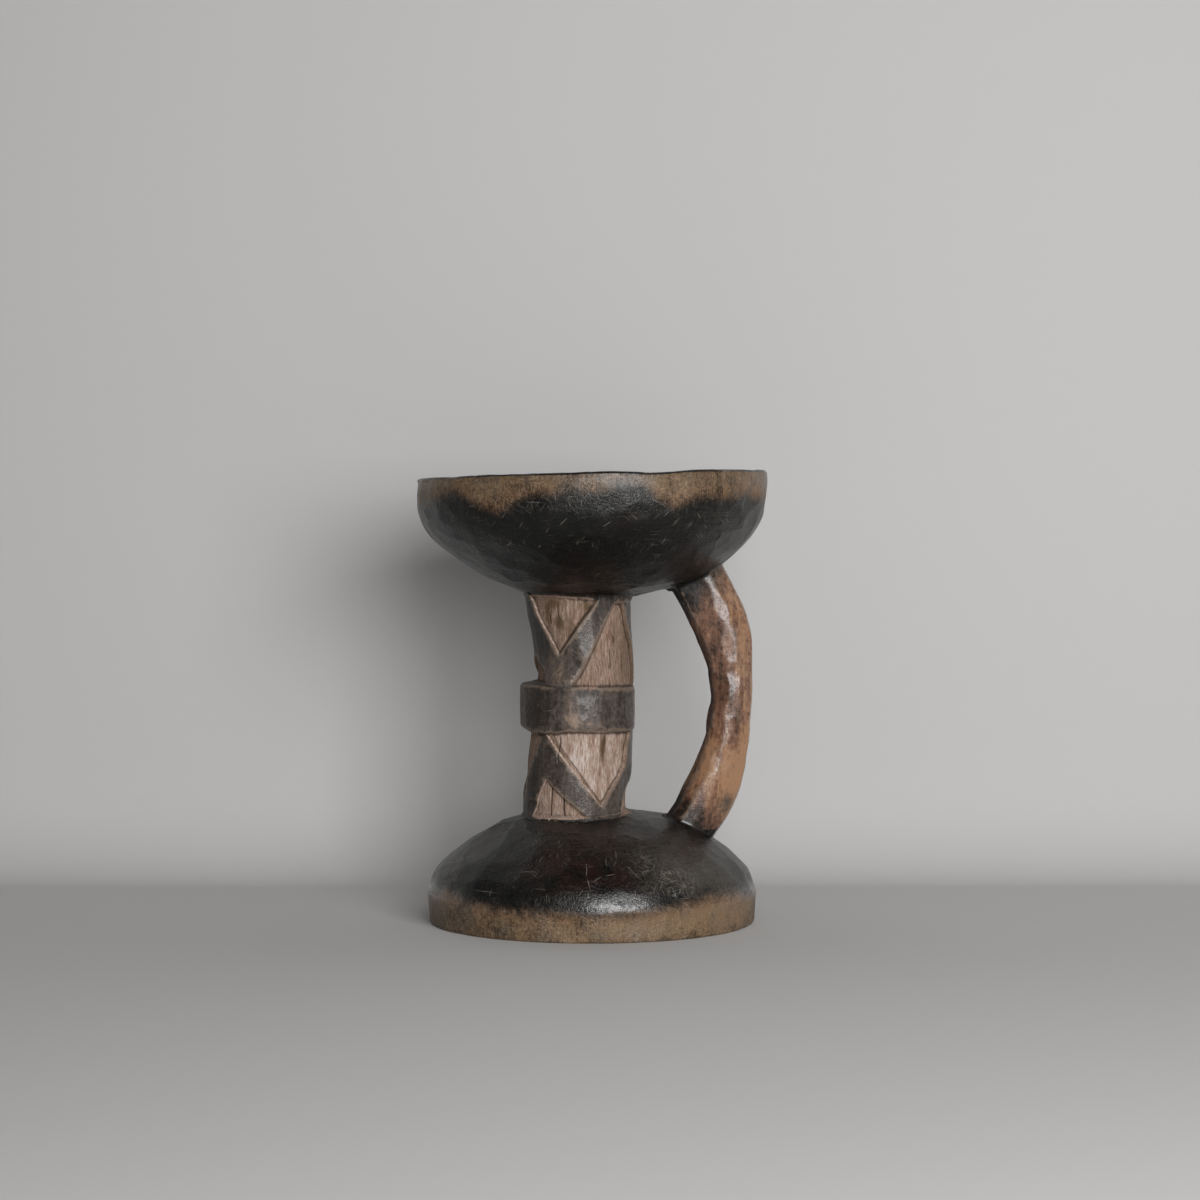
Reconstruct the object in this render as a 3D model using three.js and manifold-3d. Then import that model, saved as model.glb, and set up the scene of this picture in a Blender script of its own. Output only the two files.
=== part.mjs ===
// A stool carved from one block of wood: a round dished seat on a bowl-shaped underside, a short
// column with a plain band and sunk triangles that leave zigzag straps, a domed foot, and one
// bowed handle from seat to foot. Millimetres, +Z up. The origin is the centre of the foot's flat
// underside, and the handle is at +X. Angles on the column are in degrees from the front (-Y),
// positive towards the handle.

import * as THREE from "three";
import { mergeVertices } from "three/addons/utils/BufferGeometryUtils.js";
import Module from "manifold-3d";

// Seat
const seatRadius = 118;
const seatHeight = 300; // mean height of the rim
const bowlDepth = 85; // from the rim down to the column
const rimTilt = 3; // the rim is this much higher at the handle and lower opposite
const rimFrontDrop = 1.6; // and this much lower at the front
const rimDip = 1.8; // a shallow dip worn in the front of the rim
const rimDipAngle = 21;
const rimDipSpread = 9;
const fullness = 3; // how much fuller the bowl is below, on the handle's side
const fullnessRadius = 80;
const fullnessSpread = 26;
const rimRounding = 2;
const lipWidth = 9.5;
const dishDepth = 40;

// Foot
const footRadius = 110.3;
const footHeight = 77; // top of the dome, inside the column
const footEdgeHeight = 19; // the near-vertical edge below the dome
const footEdgeInset = 2.3; // how far it draws in at the bottom

// Column: each row is a height with the left and right edges seen from the front
const columnRows = [
  [66, -46.5, 26.0],
  [88, -46.2, 25.2],
  [103, -45.7, 27.0],
  [124, -43.8, 27.4],
  [146, -42.0, 28.0],
  [162, -39.0, 28.2],
  [178, -39.0, 27.8],
  [191, -40.4, 27.2],
  [205, -43.2, 26.8],
  [224, -45.6, 26.4],
];
const columnHalfDepth = 36.6; // from the axis to the front and to the back

// Band round the column
const bandCentre = -9.8;
const bandRadius = 38.7;
const bandBottom = 127.5;
const bandTop = 158.6;
const bandChamfer = 3.4; // along its lower edge
const bandEdgeRound = 1.6; // along its upper edge
const bandLedge = 9; // the band's top slopes up over this width to the column
const bandLedgeRise = 1.8;
const bandTilt = 1.3; // the band is this much lower at the handle and higher opposite

// Sunk triangles
const pocketDepth = 2.5;
const pocketTip = 1.4; // half the angle left at a triangle's tip
const pocketClear = 6; // how far the cutters stand out of the wood
const upperSill = 158.8;
const upperHead = 217;
const lowerSill = 73;
const lowerHead = 130;

// Handle: each row is a point of its middle line with its width in the handle's plane
const handleRows = [
  [60, 246, 40],
  [70, 230.7, 39.5],
  [78.4, 215.6, 39],
  [85.4, 202.1, 38],
  [89.6, 188.7, 36.5],
  [92.2, 175.2, 32],
  [93.4, 161.8, 29.7],
  [93.6, 148.3, 28.4],
  [91.9, 134.9, 30],
  [90.5, 121.4, 31.4],
  [87.3, 108, 34],
  [82.9, 94.5, 36],
  [76.5, 81, 37],
  [70.9, 71, 35.6],
  [57, 50, 35.6],
];
const handleDepth = 34; // its thickness across its plane
const handleRidge = 0.1; // how far its front and back run to a soft ridge

// Fineness
const roundSegments = 64;
const seatOutsideSteps = 11;
const seatInsideSteps = 8;
const domeSteps = 11;
const columnSegments = 48;
const pocketRows = 4;
const pocketColumnAngle = 13; // degrees across one column of a cutter's faces
const handleSegments = 16;
const handleSteps = 24;

const wasm = await Module();
wasm.setup();

// A closed geometry as a solid, without the faces that collapse where a lathe meets its axis.
function solidOf(geometry) {
  geometry.deleteAttribute("normal");
  geometry.deleteAttribute("uv");
  const merged = mergeVertices(geometry, 1e-3);
  const index = merged.index.array;
  const triangles = [];
  for (let i = 0; i < index.length; i += 3) {
    const [a, b, c] = index.slice(i, i + 3);
    if (a !== b && b !== c && c !== a) {
      triangles.push(a, b, c);
    }
  }
  return new wasm.Manifold(
    new wasm.Mesh({
      numProp: 3,
      vertProperties: merged.attributes.position.array,
      triVerts: new Uint32Array(triangles),
    }),
  );
}

function geometryOf(solid) {
  const { vertProperties, triVerts } = solid.getMesh();
  const geometry = new THREE.BufferGeometry();
  geometry.setAttribute("position", new THREE.BufferAttribute(vertProperties, 3));
  geometry.setIndex(new THREE.BufferAttribute(triVerts, 1));
  geometry.computeVertexNormals();
  return geometry;
}

// Moves every vertex to the place that the function gives for it.
function reshape(geometry, placeOf) {
  const position = geometry.attributes.position;
  const point = new THREE.Vector3();
  for (let i = 0; i < position.count; i += 1) {
    point.fromBufferAttribute(position, i);
    position.setXYZ(i, ...placeOf(point));
  }
  return geometry;
}

// A body turned round +Z from an outline of [radius, height] points that runs up the outside.
function turned(outline, segments) {
  const points = outline.map(([radius, height]) => new THREE.Vector2(radius, height));
  return new THREE.LatheGeometry(points, segments).rotateX(Math.PI / 2);
}

// A smooth run through a few [radius, height] points.
function smooth(points, steps) {
  const curve = new THREE.SplineCurve(points.map((point) => new THREE.Vector2(...point)));
  return curve.getPoints(steps).map(({ x, y }) => [x, y]);
}

function bell(value, middle, spread) {
  return Math.exp(-(((value - middle) / spread) ** 2));
}

// The bowl's outside, the narrow lip and the dish, as shares of the seat's radius and depth.
function seatSolid() {
  const at = (radius, depth) => [radius * seatRadius, seatHeight - depth * bowlDepth];
  const outside = smooth(
    [at(0.254, 1), at(0.441, 0.93), at(0.636, 0.79), at(0.805, 0.628), at(0.924, 0.473),
      at(0.986, 0.3), at(1, 0.118), at(0.995, 0.014)],
    seatOutsideSteps,
  );
  const lipEdge = [seatRadius - rimRounding, seatHeight];
  const dish = (radius, share) => [radius * (seatRadius - lipWidth), seatHeight - share * dishDepth];
  const inside = smooth(
    [dish(1, 0.02), dish(0.93, 0.24), dish(0.72, 0.62), dish(0.42, 0.9), dish(0.2, 0.98), dish(0, 1)],
    seatInsideSteps,
  );
  const outline = [[0, outside[0][1]], ...outside, lipEdge, ...inside];
  outline.at(-1)[0] = 0;
  const bowlFoot = seatHeight - bowlDepth;
  return solidOf(
    reshape(turned(outline, roundSegments), ({ x, y, z }) => {
      const radius = Math.hypot(x, y);
      const rise = (z - bowlFoot) / bowlDepth;
      const angle = THREE.MathUtils.radToDeg(Math.atan2(x, -y));
      const tilt = (rimTilt * (x / seatRadius) + rimFrontDrop * Math.min(0, y / seatRadius)) * rise;
      const nearRim = (radius / seatRadius) ** 6 * rise ** 4;
      const dip = rimDip * bell(angle, rimDipAngle, rimDipSpread) * nearRim;
      const under = z < seatHeight - dishDepth ? 1 : 0;
      const handleSide = Math.max(0, x / seatRadius);
      const fuller = under * fullness * handleSide * bell(radius, fullnessRadius, fullnessSpread);
      return [x, y, z + tilt - dip - fuller];
    }),
  );
}

// The dome and its near-vertical edge, as shares of the foot's radius and height.
function footSolid() {
  const at = (radius, height) => [radius * footRadius, height * footHeight];
  const dome = smooth(
    [at(0.994, 0.312), at(0.959, 0.442), at(0.879, 0.573), at(0.757, 0.703), at(0.607, 0.84),
      at(0.467, 0.925), at(0.326, 0.969), at(0.15, 0.995), at(0, 1)],
    domeSteps,
  );
  const edge = [
    [0, 0],
    [footRadius - footEdgeInset, 0],
    [footRadius - footEdgeInset / 3, footEdgeHeight / 4],
    [footRadius, footEdgeHeight],
  ];
  const outline = [...edge, ...dome];
  outline.at(-1)[0] = 0;
  return solidOf(turned(outline, roundSegments));
}

// The column's middle and half width at a height, along straight lines between the rows.
function columnAt(height) {
  const above = columnRows.findIndex(([z]) => z >= height);
  const row = above < 0 ? columnRows.length - 1 : Math.max(above, 1);
  const [low, high] = [columnRows[row - 1], columnRows[row]];
  const share = THREE.MathUtils.clamp((height - low[0]) / (high[0] - low[0]), 0, 1);
  const left = THREE.MathUtils.lerp(low[1], high[1], share);
  const right = THREE.MathUtils.lerp(low[2], high[2], share);
  return { middle: (left + right) / 2, half: (right - left) / 2 };
}

// A point on the column's surface, or lifted out of it.
function onColumn(angle, height, lift) {
  const { middle, half } = columnAt(height);
  const turn = THREE.MathUtils.degToRad(angle);
  return [
    middle + (half + lift) * Math.sin(turn),
    -(columnHalfDepth + lift) * Math.cos(turn),
    height,
  ];
}

function columnSolid() {
  const rings = columnRows.length - 1;
  const post = new THREE.CylinderGeometry(1, 1, rings, columnSegments, rings).rotateX(Math.PI / 2);
  return solidOf(
    reshape(post, ({ x, y, z }) => {
      const height = columnRows[Math.round(z + rings / 2)][0];
      const { middle, half } = columnAt(height);
      return [middle + half * x, columnHalfDepth * y, height];
    }),
  );
}

function bandSolid() {
  const outline = [
    [0, bandBottom],
    [bandRadius - bandChamfer, bandBottom],
    [bandRadius, bandBottom + bandChamfer],
    [bandRadius, bandTop - bandEdgeRound],
    [bandRadius - bandEdgeRound, bandTop],
    [bandRadius - bandLedge, bandTop + bandLedgeRise],
    [0, bandTop + bandLedgeRise],
  ];
  return solidOf(
    reshape(turned(outline, columnSegments), ({ x, y, z }) => [
      x + bandCentre,
      y,
      z - bandTilt * (x / bandRadius),
    ]),
  );
}

// A triangular cutter wrapped round the column: its base runs between two angles at one height,
// and it narrows to the tip's angle at the other. Its second side may bow out by a few degrees.
function pocketCutter({ from, to, base, tip, tipHeight, tipHalf = pocketTip, bow = 0 }) {
  const across = Math.round((to - from) / pocketColumnAngle);
  const block = new THREE.BoxGeometry(1, 1, 1, across, pocketRows, 1);
  const pointsUp = tipHeight > base;
  return solidOf(
    reshape(block, ({ x, y, z }) => {
      const share = pointsUp ? y + 0.5 : 0.5 - y;
      const start = THREE.MathUtils.lerp(from, tip - tipHalf, share);
      const end = THREE.MathUtils.lerp(to, tip + tipHalf, share) + bow * 4 * share * (1 - share);
      const angle = THREE.MathUtils.lerp(start, end, x + 0.5);
      const height = THREE.MathUtils.lerp(base, tipHeight, share);
      return onColumn(angle, height, z > 0 ? pocketClear : -pocketDepth);
    }),
  );
}

// The sunk triangles, in order round the column from the left of the front.
function pockets() {
  const hangingAbove = [
    { from: -64, to: 24, tip: -30, tipHeight: 179 },
    { from: 87, to: 152, tip: 121, tipHeight: 181 },
    { from: 186, to: 246, tip: 216, tipHeight: 181 },
  ];
  const standingAbove = [
    { from: -14, to: 98, tip: 50, tipHeight: 214, tipHalf: 5 },
    { from: 138, to: 204, tip: 168, tipHeight: 210 },
    { from: 232, to: 315, tip: 280, tipHeight: 179, bow: 9 },
  ];
  const hangingBelow = [
    { from: -43, to: 72, tip: 28, tipHeight: 79, bow: 9 },
    { from: 84, to: 190, tip: 142, tipHeight: 84 },
    { from: 206, to: 317, tip: 280, tipHeight: 80 },
  ];
  const standingBelow = [
    { from: -55, to: 12, tip: -36, tipHeight: 97.5 },
    { from: 54, to: 128, tip: 90, tipHeight: 103 },
    { from: 158, to: 258, tip: 204, tipHeight: 101 },
  ];
  return [
    ...hangingAbove.map((corners) => ({ ...corners, base: upperHead })),
    ...standingAbove.map((corners) => ({ ...corners, base: upperSill })),
    ...hangingBelow.map((corners) => ({ ...corners, base: lowerHead })),
    ...standingBelow.map((corners) => ({ ...corners, base: lowerSill })),
  ].map(pocketCutter);
}

// The bowed handle: a rounded bar whose middle line and width follow the rows.
function handleSolid() {
  const line = new THREE.CatmullRomCurve3(handleRows.map(([x, z]) => new THREE.Vector3(x, 0, z)));
  const last = handleRows.length - 1;
  const halfWidthAt = (share) => {
    const row = Math.min(Math.floor(share * last), last - 1);
    return THREE.MathUtils.lerp(handleRows[row][2], handleRows[row + 1][2], share * last - row) / 2;
  };
  const bar = new THREE.CylinderGeometry(1, 1, 1, handleSegments, handleSteps).rotateX(Math.PI / 2);
  return solidOf(
    reshape(bar, ({ x, y, z }) => {
      const share = 0.5 - z;
      const middle = line.getPoint(share);
      const along = line.getTangent(share);
      const out = new THREE.Vector3(-along.z, 0, along.x);
      const ridge = 1 + handleRidge * (y ** 4 - 0.5);
      const across = halfWidthAt(share) * x;
      return [middle.x + out.x * across, (handleDepth / 2) * y * ridge, middle.z + out.z * across];
    }),
  );
}

let block = seatSolid().add(footSolid()).add(bandSolid());
let carvedColumn = columnSolid();
for (const cutter of pockets()) {
  carvedColumn = carvedColumn.subtract(cutter);
}
block = block.add(carvedColumn).add(handleSolid());

const wood = new THREE.MeshStandardMaterial({ color: 0x3a2c24, roughness: 0.55, metalness: 0 });
const stool = new THREE.Mesh(geometryOf(block), wood);
stool.name = "carved_stool";

const part = new THREE.Group();
part.add(stool);
export default part;
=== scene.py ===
import math
import bpy
import numpy as np
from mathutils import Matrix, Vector


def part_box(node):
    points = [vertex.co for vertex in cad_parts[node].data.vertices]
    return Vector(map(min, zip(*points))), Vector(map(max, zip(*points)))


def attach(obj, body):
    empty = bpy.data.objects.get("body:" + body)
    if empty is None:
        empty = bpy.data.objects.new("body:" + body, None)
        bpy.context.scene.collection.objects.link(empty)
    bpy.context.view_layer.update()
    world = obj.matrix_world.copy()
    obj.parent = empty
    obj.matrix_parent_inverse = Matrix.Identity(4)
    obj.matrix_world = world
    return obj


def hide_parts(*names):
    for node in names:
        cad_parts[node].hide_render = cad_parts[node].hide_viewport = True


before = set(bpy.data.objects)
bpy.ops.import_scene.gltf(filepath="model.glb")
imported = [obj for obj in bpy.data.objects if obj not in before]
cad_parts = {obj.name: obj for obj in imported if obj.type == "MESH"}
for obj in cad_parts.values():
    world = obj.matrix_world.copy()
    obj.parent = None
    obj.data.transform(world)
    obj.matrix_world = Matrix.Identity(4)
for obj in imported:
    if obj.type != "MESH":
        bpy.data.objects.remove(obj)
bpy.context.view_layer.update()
lowCorner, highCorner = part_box("carved_stool")

# All sizes below are millimetres. Angles round the column, bowl and foot are in degrees
# from the front (-Y), positive towards the handle (+X).
mm = 0.001


def smoothRun(points, steps):
    # a Catmull-Rom run through the points
    rows = [np.array(p, dtype=float) for p in points]
    last = len(rows) - 1
    run = []
    for i in range(steps + 1):
        place = last * i / steps
        k = min(int(place), last - 1)
        t = place - k
        a, b, c, d = rows[max(k - 1, 0)], rows[k], rows[k + 1], rows[min(k + 2, last)]
        leave, arrive = (c - a) / 2, (d - b) / 2
        run.append((2 * b - 2 * c + leave + arrive) * t ** 3
                   + (3 * c - 3 * b - 2 * leave - arrive) * t ** 2 + leave * t + b)
    return run


def bell(value, middle, spread):
    return np.exp(-((value - middle) / spread) ** 2)


def fade(value, low, high):
    # 0 at low, 1 at high, eased between
    t = np.clip((value - low) / (high - low), 0, 1)
    return t * t * (3 - 2 * t)


def waves(u, v, seed, count=97):
    # smooth random waves from -1 to 1, about one unit long
    lattice = np.random.default_rng(seed).uniform(-1, 1, (count, count))
    i, j = np.floor(u).astype(int), np.floor(v).astype(int)
    a, b = fade(u - i, 0, 1), fade(v - j, 0, 1)
    low, high = (lattice[i % count, k % count] * (1 - a) + lattice[(i + 1) % count, k % count] * a
                 for k in (j, j + 1))
    return low * (1 - b) + high * b


def aroundFrom(angle, at):
    # degrees from a place round the stool, the short way
    return (angle - at + 180) % 360 - 180


def patchwork(rows, angle, z):
    # soft patches: rows of angle, height, their spreads and the amount
    total = np.zeros(len(z))
    for at, height, aside, up, amount in rows:
        total += amount * bell(aroundFrom(angle, at), 0, aside) * bell(z, height, up)
    return total


def readPoints(piece):
    # the mesh's points in millimetres
    flat = np.empty(len(piece.data.vertices) * 3)
    piece.data.vertices.foreach_get("co", flat)
    return flat.reshape(-1, 3) / mm


def writePoints(piece, points):
    piece.data.vertices.foreach_set("co", (points * mm).ravel())
    piece.data.update()


def readNormals(piece):
    flat = np.empty(len(piece.data.vertices) * 3, dtype=np.float32)
    piece.data.vertex_normals.foreach_get("vector", flat)
    return flat.reshape(-1, 3).astype(float)


def frontAngle(points, middle=0):
    return np.degrees(np.arctan2(points[:, 0] - middle, -points[:, 1]))


def facing(right, up):
    # the way that turns right and up, in degrees, from straight to the front
    right, up = math.radians(right), math.radians(up)
    return math.sin(right) * math.cos(up), -math.cos(right) * math.cos(up), math.sin(up)


def selectOnly(piece):
    bpy.ops.object.select_all(action="DESELECT")
    bpy.context.view_layer.objects.active = piece
    piece.select_set(True)


def applyModifier(piece, kind, **settings):
    selectOnly(piece)
    step = piece.modifiers.new(kind.lower(), kind)
    for name, value in settings.items():
        setattr(step, name, value)
    bpy.ops.object.modifier_apply(modifier=step.name)


def extrudeRings(name, rings, sides):
    # Starts from a filled circle and extrudes its face from ring to ring.
    # A ring is x, z, half width, half depth and the angle of its plane.
    x, z, width, depth, angle = rings[0]
    bpy.ops.object.select_all(action="DESELECT")
    bpy.ops.mesh.primitive_circle_add(vertices=sides, radius=width * mm, fill_type="NGON",
                                      location=(x * mm, 0, z * mm))
    piece = bpy.context.object
    piece.name = name
    bpy.ops.object.mode_set(mode="EDIT")
    bpy.ops.mesh.select_all(action="SELECT")
    bpy.ops.transform.resize(value=(1, depth / width, 1), center_override=(x * mm, 0, z * mm))
    if angle:
        bpy.ops.transform.rotate(value=angle, orient_axis="Y", center_override=(x * mm, 0, z * mm))
    for lower, upper in zip(rings, rings[1:]):
        step = ((upper[0] - lower[0]) * mm, 0, (upper[1] - lower[1]) * mm)
        middle = (upper[0] * mm, 0, upper[1] * mm)
        across, along = upper[2] / lower[2], upper[3] / lower[3]
        up = across if angle else 1
        bpy.ops.mesh.extrude_region_move(TRANSFORM_OT_translate={"value": step})
        bpy.ops.transform.resize(value=(across, along, up), center_override=middle)
        if upper[4] != lower[4]:
            bpy.ops.transform.rotate(value=upper[4] - lower[4], orient_axis="Y", center_override=middle)
    bpy.ops.mesh.select_all(action="SELECT")
    bpy.ops.mesh.normals_make_consistent(inside=False)
    bpy.ops.object.mode_set(mode="OBJECT")
    bpy.ops.object.transform_apply(location=True, rotation=True, scale=True)
    return piece


seat = {
    "radius": (highCorner[0] - lowCorner[0]) / 2 / mm - 0.1,
    "height": 300.0,
    "rimTilt": 3.0,            # the rim is this much higher at the handle, lower opposite
    "rimFrontDrop": 1.6,       # and this much lower at the front
    # angle, spread and depth
    "rimDips": [(21, 9, 1.8), (-12, 10, 0.4), (-52, 9, 0.5), (64, 8, 0.4), (140, 14, 1.0),
                (-150, 10, 0.8)],
    "bowlDepth": 85.0,
    "outline": [(0.254, 1), (0.441, 0.93), (0.636, 0.79), (0.805, 0.628),
                (0.924, 0.473), (0.986, 0.3), (1, 0.118), (0.995, 0.014)],
    "fullness": (3.0, 80.0, 26.0),     # the underside is fuller at the handle: by, radius, spread
    "lipWidth": 9.5,
    "dishDepth": 40.0,
    "dish": [(1, 0.02), (0.93, 0.24), (0.72, 0.62), (0.42, 0.9), (0.2, 0.98), (0.05, 1)],
    "dishAbove": 250,          # heights that part the dish and the bowl from the rest
    "bowlAbove": 205,
    "sides": 128,
}


def seatLean(points):
    # how far the rim's tilt, front drop and dips move a point of the seat
    radius, depth = seat["radius"], seat["bowlDepth"]
    r = np.hypot(points[:, 0], points[:, 1])
    rise = (points[:, 2] - seat["height"] + depth) / depth
    angle = frontAngle(points)
    lean = seat["rimTilt"] * points[:, 0] / radius
    lean = lean + seat["rimFrontDrop"] * np.minimum(0, points[:, 1] / radius)
    dips = sum(deep * bell(angle, middle, spread) for middle, spread, deep in seat["rimDips"])
    return lean * rise - dips * (r / radius) ** 6 * rise ** 4


def makeSeat():
    radius, height, depth = seat["radius"], seat["height"], seat["bowlDepth"]
    outside = [(r * radius, height - d * depth) for r, d in seat["outline"]]
    inner = radius - seat["lipWidth"]
    inside = [(r * inner, height - d * seat["dishDepth"]) for r, d in seat["dish"]]
    turned = smoothRun(outside, 26) + [(radius - 2, height)] + smoothRun(inside, 18)
    piece = extrudeRings("seat", [(0, z, r, r, 0) for r, z in turned], seat["sides"])
    points = readPoints(piece)
    r = np.hypot(points[:, 0], points[:, 1])
    full, fullRadius, fullSpread = seat["fullness"]
    under = points[:, 2] < height - seat["dishDepth"]
    fuller = under * full * np.maximum(0, points[:, 0] / radius) * bell(r, fullRadius, fullSpread)
    points[:, 2] += seatLean(points) - fuller
    writePoints(piece, points)
    return piece


foot = {
    "radius": 110.3,
    "height": 77.0,
    "edgeHeight": 19.0,
    "edgeInset": 2.3,
    "outline": [(0.994, 0.312), (0.959, 0.442), (0.879, 0.573), (0.757, 0.703),
                (0.607, 0.84), (0.467, 0.925), (0.326, 0.969), (0.15, 0.995), (0.05, 1)],
    "frontHollow": (-8, -32, 2.0, 46.0),   # the dome is lower before the column: x, y, depth, spread
    "domeBelow": 100,
    "sides": 128,
}


def makeFoot():
    radius, height, inset = foot["radius"], foot["height"], foot["edgeInset"]
    edge = [(radius - inset, 0), (radius - inset / 2, 1.2),
            (radius - inset / 3, foot["edgeHeight"] / 4), (radius, foot["edgeHeight"])]
    dome = [(r * radius, h * height) for r, h in foot["outline"]]
    turned = edge + smoothRun(dome, 26)
    piece = extrudeRings("foot", [(0, z, r, r, 0) for r, z in turned], foot["sides"])
    points = readPoints(piece)
    x, y, hollow, spread = foot["frontHollow"]
    near = bell(np.hypot(points[:, 0] - x, points[:, 1] - y), 0, spread)
    points[:, 2] -= hollow * near * (points[:, 2] > height / 2)
    writePoints(piece, points)
    return piece


column = {
    # height, left edge, right edge, as seen from the front
    "rows": [(66, -46.5, 26.0), (88, -46.2, 25.2), (103, -45.7, 27.0), (124, -43.8, 27.4),
             (146, -42.0, 28.0), (162, -39.0, 28.2), (178, -39.0, 27.8), (191, -40.4, 27.2),
             (205, -43.2, 26.8), (224, -45.6, 26.4)],
    "halfDepth": 36.6,
    "bottom": 73.0,
    "top": 217.0,
    "swell": (-29, 17, 3.6, 176),  # a strap runs out onto the band: angle, spread, rise, from height
    "around": 60,              # nothing of the column or the band is farther from the axis
    "sides": 96,
    "steps": 60,
}


def strapSwell(angle, z):
    # how far the strap above the band swells out towards it
    middle, spread, rise, start = column["swell"]
    lower = (1 - fade(z, band["top"] + 1, start)) * (z > band["bottom"] + 8)
    return rise * bell(angle, middle, spread) * lower


def columnPlace(points, swollen=True):
    # the angle round the column, and how far a point stands out of its plain surface
    rows = smoothRun(column["rows"], column["steps"])
    heights, lefts, rights = (np.array(c) for c in zip(*rows))
    z = points[:, 2]
    left, right = np.interp(z, heights, lefts), np.interp(z, heights, rights)
    middle, half = (left + right) / 2, (right - left) / 2
    across = (points[:, 0] - middle) / half
    depth = -points[:, 1] / column["halfDepth"]
    angle = np.degrees(np.arctan2(across, depth))
    out = (np.hypot(across, depth) - 1) * column["halfDepth"]
    return angle, out - strapSwell(angle, z) if swollen else out


def makeColumn():
    rows = smoothRun(column["rows"], column["steps"])
    rings = [((left + right) / 2, z, (right - left) / 2, column["halfDepth"], 0)
             for z, left, right in rows]
    piece = extrudeRings("column", rings, column["sides"])
    points = readPoints(piece)
    angle = columnPlace(points, False)[0]
    turn = np.radians(angle)
    rise = strapSwell(angle, points[:, 2])
    points[:, 0] += rise * np.sin(turn)
    points[:, 1] -= rise * np.cos(turn)
    writePoints(piece, points)
    return piece


band = {
    "middle": -9.8,
    "radius": 38.7,
    "bottom": 129.5,
    "top": 158.6,
    "edge": 1.2,               # its corners are rounded off over this width
    "depth": 7.0,
    "ledge": 9.0,              # a narrow slope leads from its top to the column
    "ledgeRise": 1.8,
    "ledgeDepth": 14.0,
    "tilt": 1.3,               # this much lower at the handle, higher opposite
    "sag": (-44, 24, 3.2),     # the lower edge hangs down here: angle, spread, depth
    # one stroke took off the lower corner on the left: a point of its plane, and its direction
    "cornerCut": [(-46.2, 0, 128.8), (-0.62, 0, -0.78)],
    "sides": 96,
}


def bandEdges(x, angle):
    # heights of the band's lower and upper edge
    middle, spread, sag = band["sag"]
    lean = band["tilt"] * (x - band["middle"]) / band["radius"]
    return band["bottom"] - lean - sag * bell(angle, middle, spread), band["top"] - lean


def makeBand():
    radius, bottom, top, edge = band["radius"], band["bottom"], band["top"], band["edge"]
    ledgeTop = top + band["ledgeRise"]
    outline = [(radius - band["depth"], bottom), (radius - edge, bottom), (radius - 0.3, bottom + edge),
               (radius, (bottom + top) / 2), (radius - 0.2, top - edge), (radius - edge, top),
               (radius - band["ledge"], ledgeTop), (radius - band["ledgeDepth"], ledgeTop)]
    piece = extrudeRings("band", [(band["middle"], z, r, r, 0) for r, z in outline], band["sides"])
    points = readPoints(piece)
    angle = frontAngle(points, band["middle"])
    middle, spread, sag = band["sag"]
    low = points[:, 2] < (bottom + top) / 2 - 5
    points[:, 2] -= band["tilt"] * (points[:, 0] - band["middle"]) / radius
    points[:, 2] -= low * sag * bell(angle, middle, spread)
    writePoints(piece, points)
    place, outward = band["cornerCut"]
    bpy.ops.object.mode_set(mode="EDIT")
    bpy.ops.mesh.select_all(action="SELECT")
    bpy.ops.mesh.bisect(plane_co=[c * mm for c in place], plane_no=outward, clear_outer=True,
                        use_fill=True)
    bpy.ops.object.mode_set(mode="OBJECT")
    return piece


handle = {
    # x and z of the middle line, width in the handle's plane, thickness across it
    "rows": [(57, 50, 35.6, 34), (70.9, 71, 35.6, 34), (76.5, 81, 37, 34), (82.9, 94.5, 36, 34),
             (87.3, 108, 34, 33.5), (90.5, 121.4, 31.4, 33), (91.9, 134.9, 30, 32.5),
             (93.6, 148.3, 28.4, 32.5), (93.4, 161.8, 29.7, 32.5), (92.2, 175.2, 32, 33),
             (89.6, 188.7, 36.5, 33.5), (85.4, 202.1, 38, 34), (78.4, 215.6, 39, 34),
             (70, 230.7, 39.5, 34), (60, 246, 40, 34)],
    # its long facets: corners of the cross section at three heights, as shares of the half
    # width (outwards) and the half thickness (to the front), from the ridge round the outside
    "sections": {
        70: [(0.05, 0.95), (0.93, 0.34), (1, -0.1), (0.8, -0.66), (0.3, -1), (-0.42, -0.98),
             (-0.9, -0.56), (-1, 0.12), (-0.86, 0.62), (-0.5, 1)],
        160: [(0.44, 0.9), (0.97, 0.3), (1, -0.08), (0.84, -0.64), (0.34, -0.98), (-0.44, -1),
              (-0.92, -0.52), (-1, 0.15), (-0.78, 0.74), (-0.14, 1)],
        225: [(0.5, 0.92), (0.96, 0.34), (1, -0.06), (0.82, -0.68), (0.36, -0.99), (-0.4, -1),
              (-0.9, -0.58), (-1, 0.2), (-0.74, 0.8), (0.16, 1)],
    },
    "beyondX": 30,             # no point of it is nearer to the axis
    "apartX": 44,              # beyond this it's clear of the bowl and the dome
    "apartHeights": (62, 244),
    "skin": 1.13,              # its surface, with some room, in shares of the cross section
    "struck": (66, 78, 222, 234),      # strokes fade in and out between these heights
    "sides": 72,
    "steps": 70,
}


def handleLine():
    # the middle line with its directions: rows of x, z, half width, half thickness, lean
    line = smoothRun(handle["rows"], handle["steps"])
    rows = []
    for i, (x, z, width, depth) in enumerate(line):
        before, after = line[max(i - 1, 0)], line[min(i + 1, len(line) - 1)]
        lean = math.atan2(after[0] - before[0], after[1] - before[1])
        rows.append((x, z, width / 2, depth / 2, lean))
    return np.array(rows)


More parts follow.
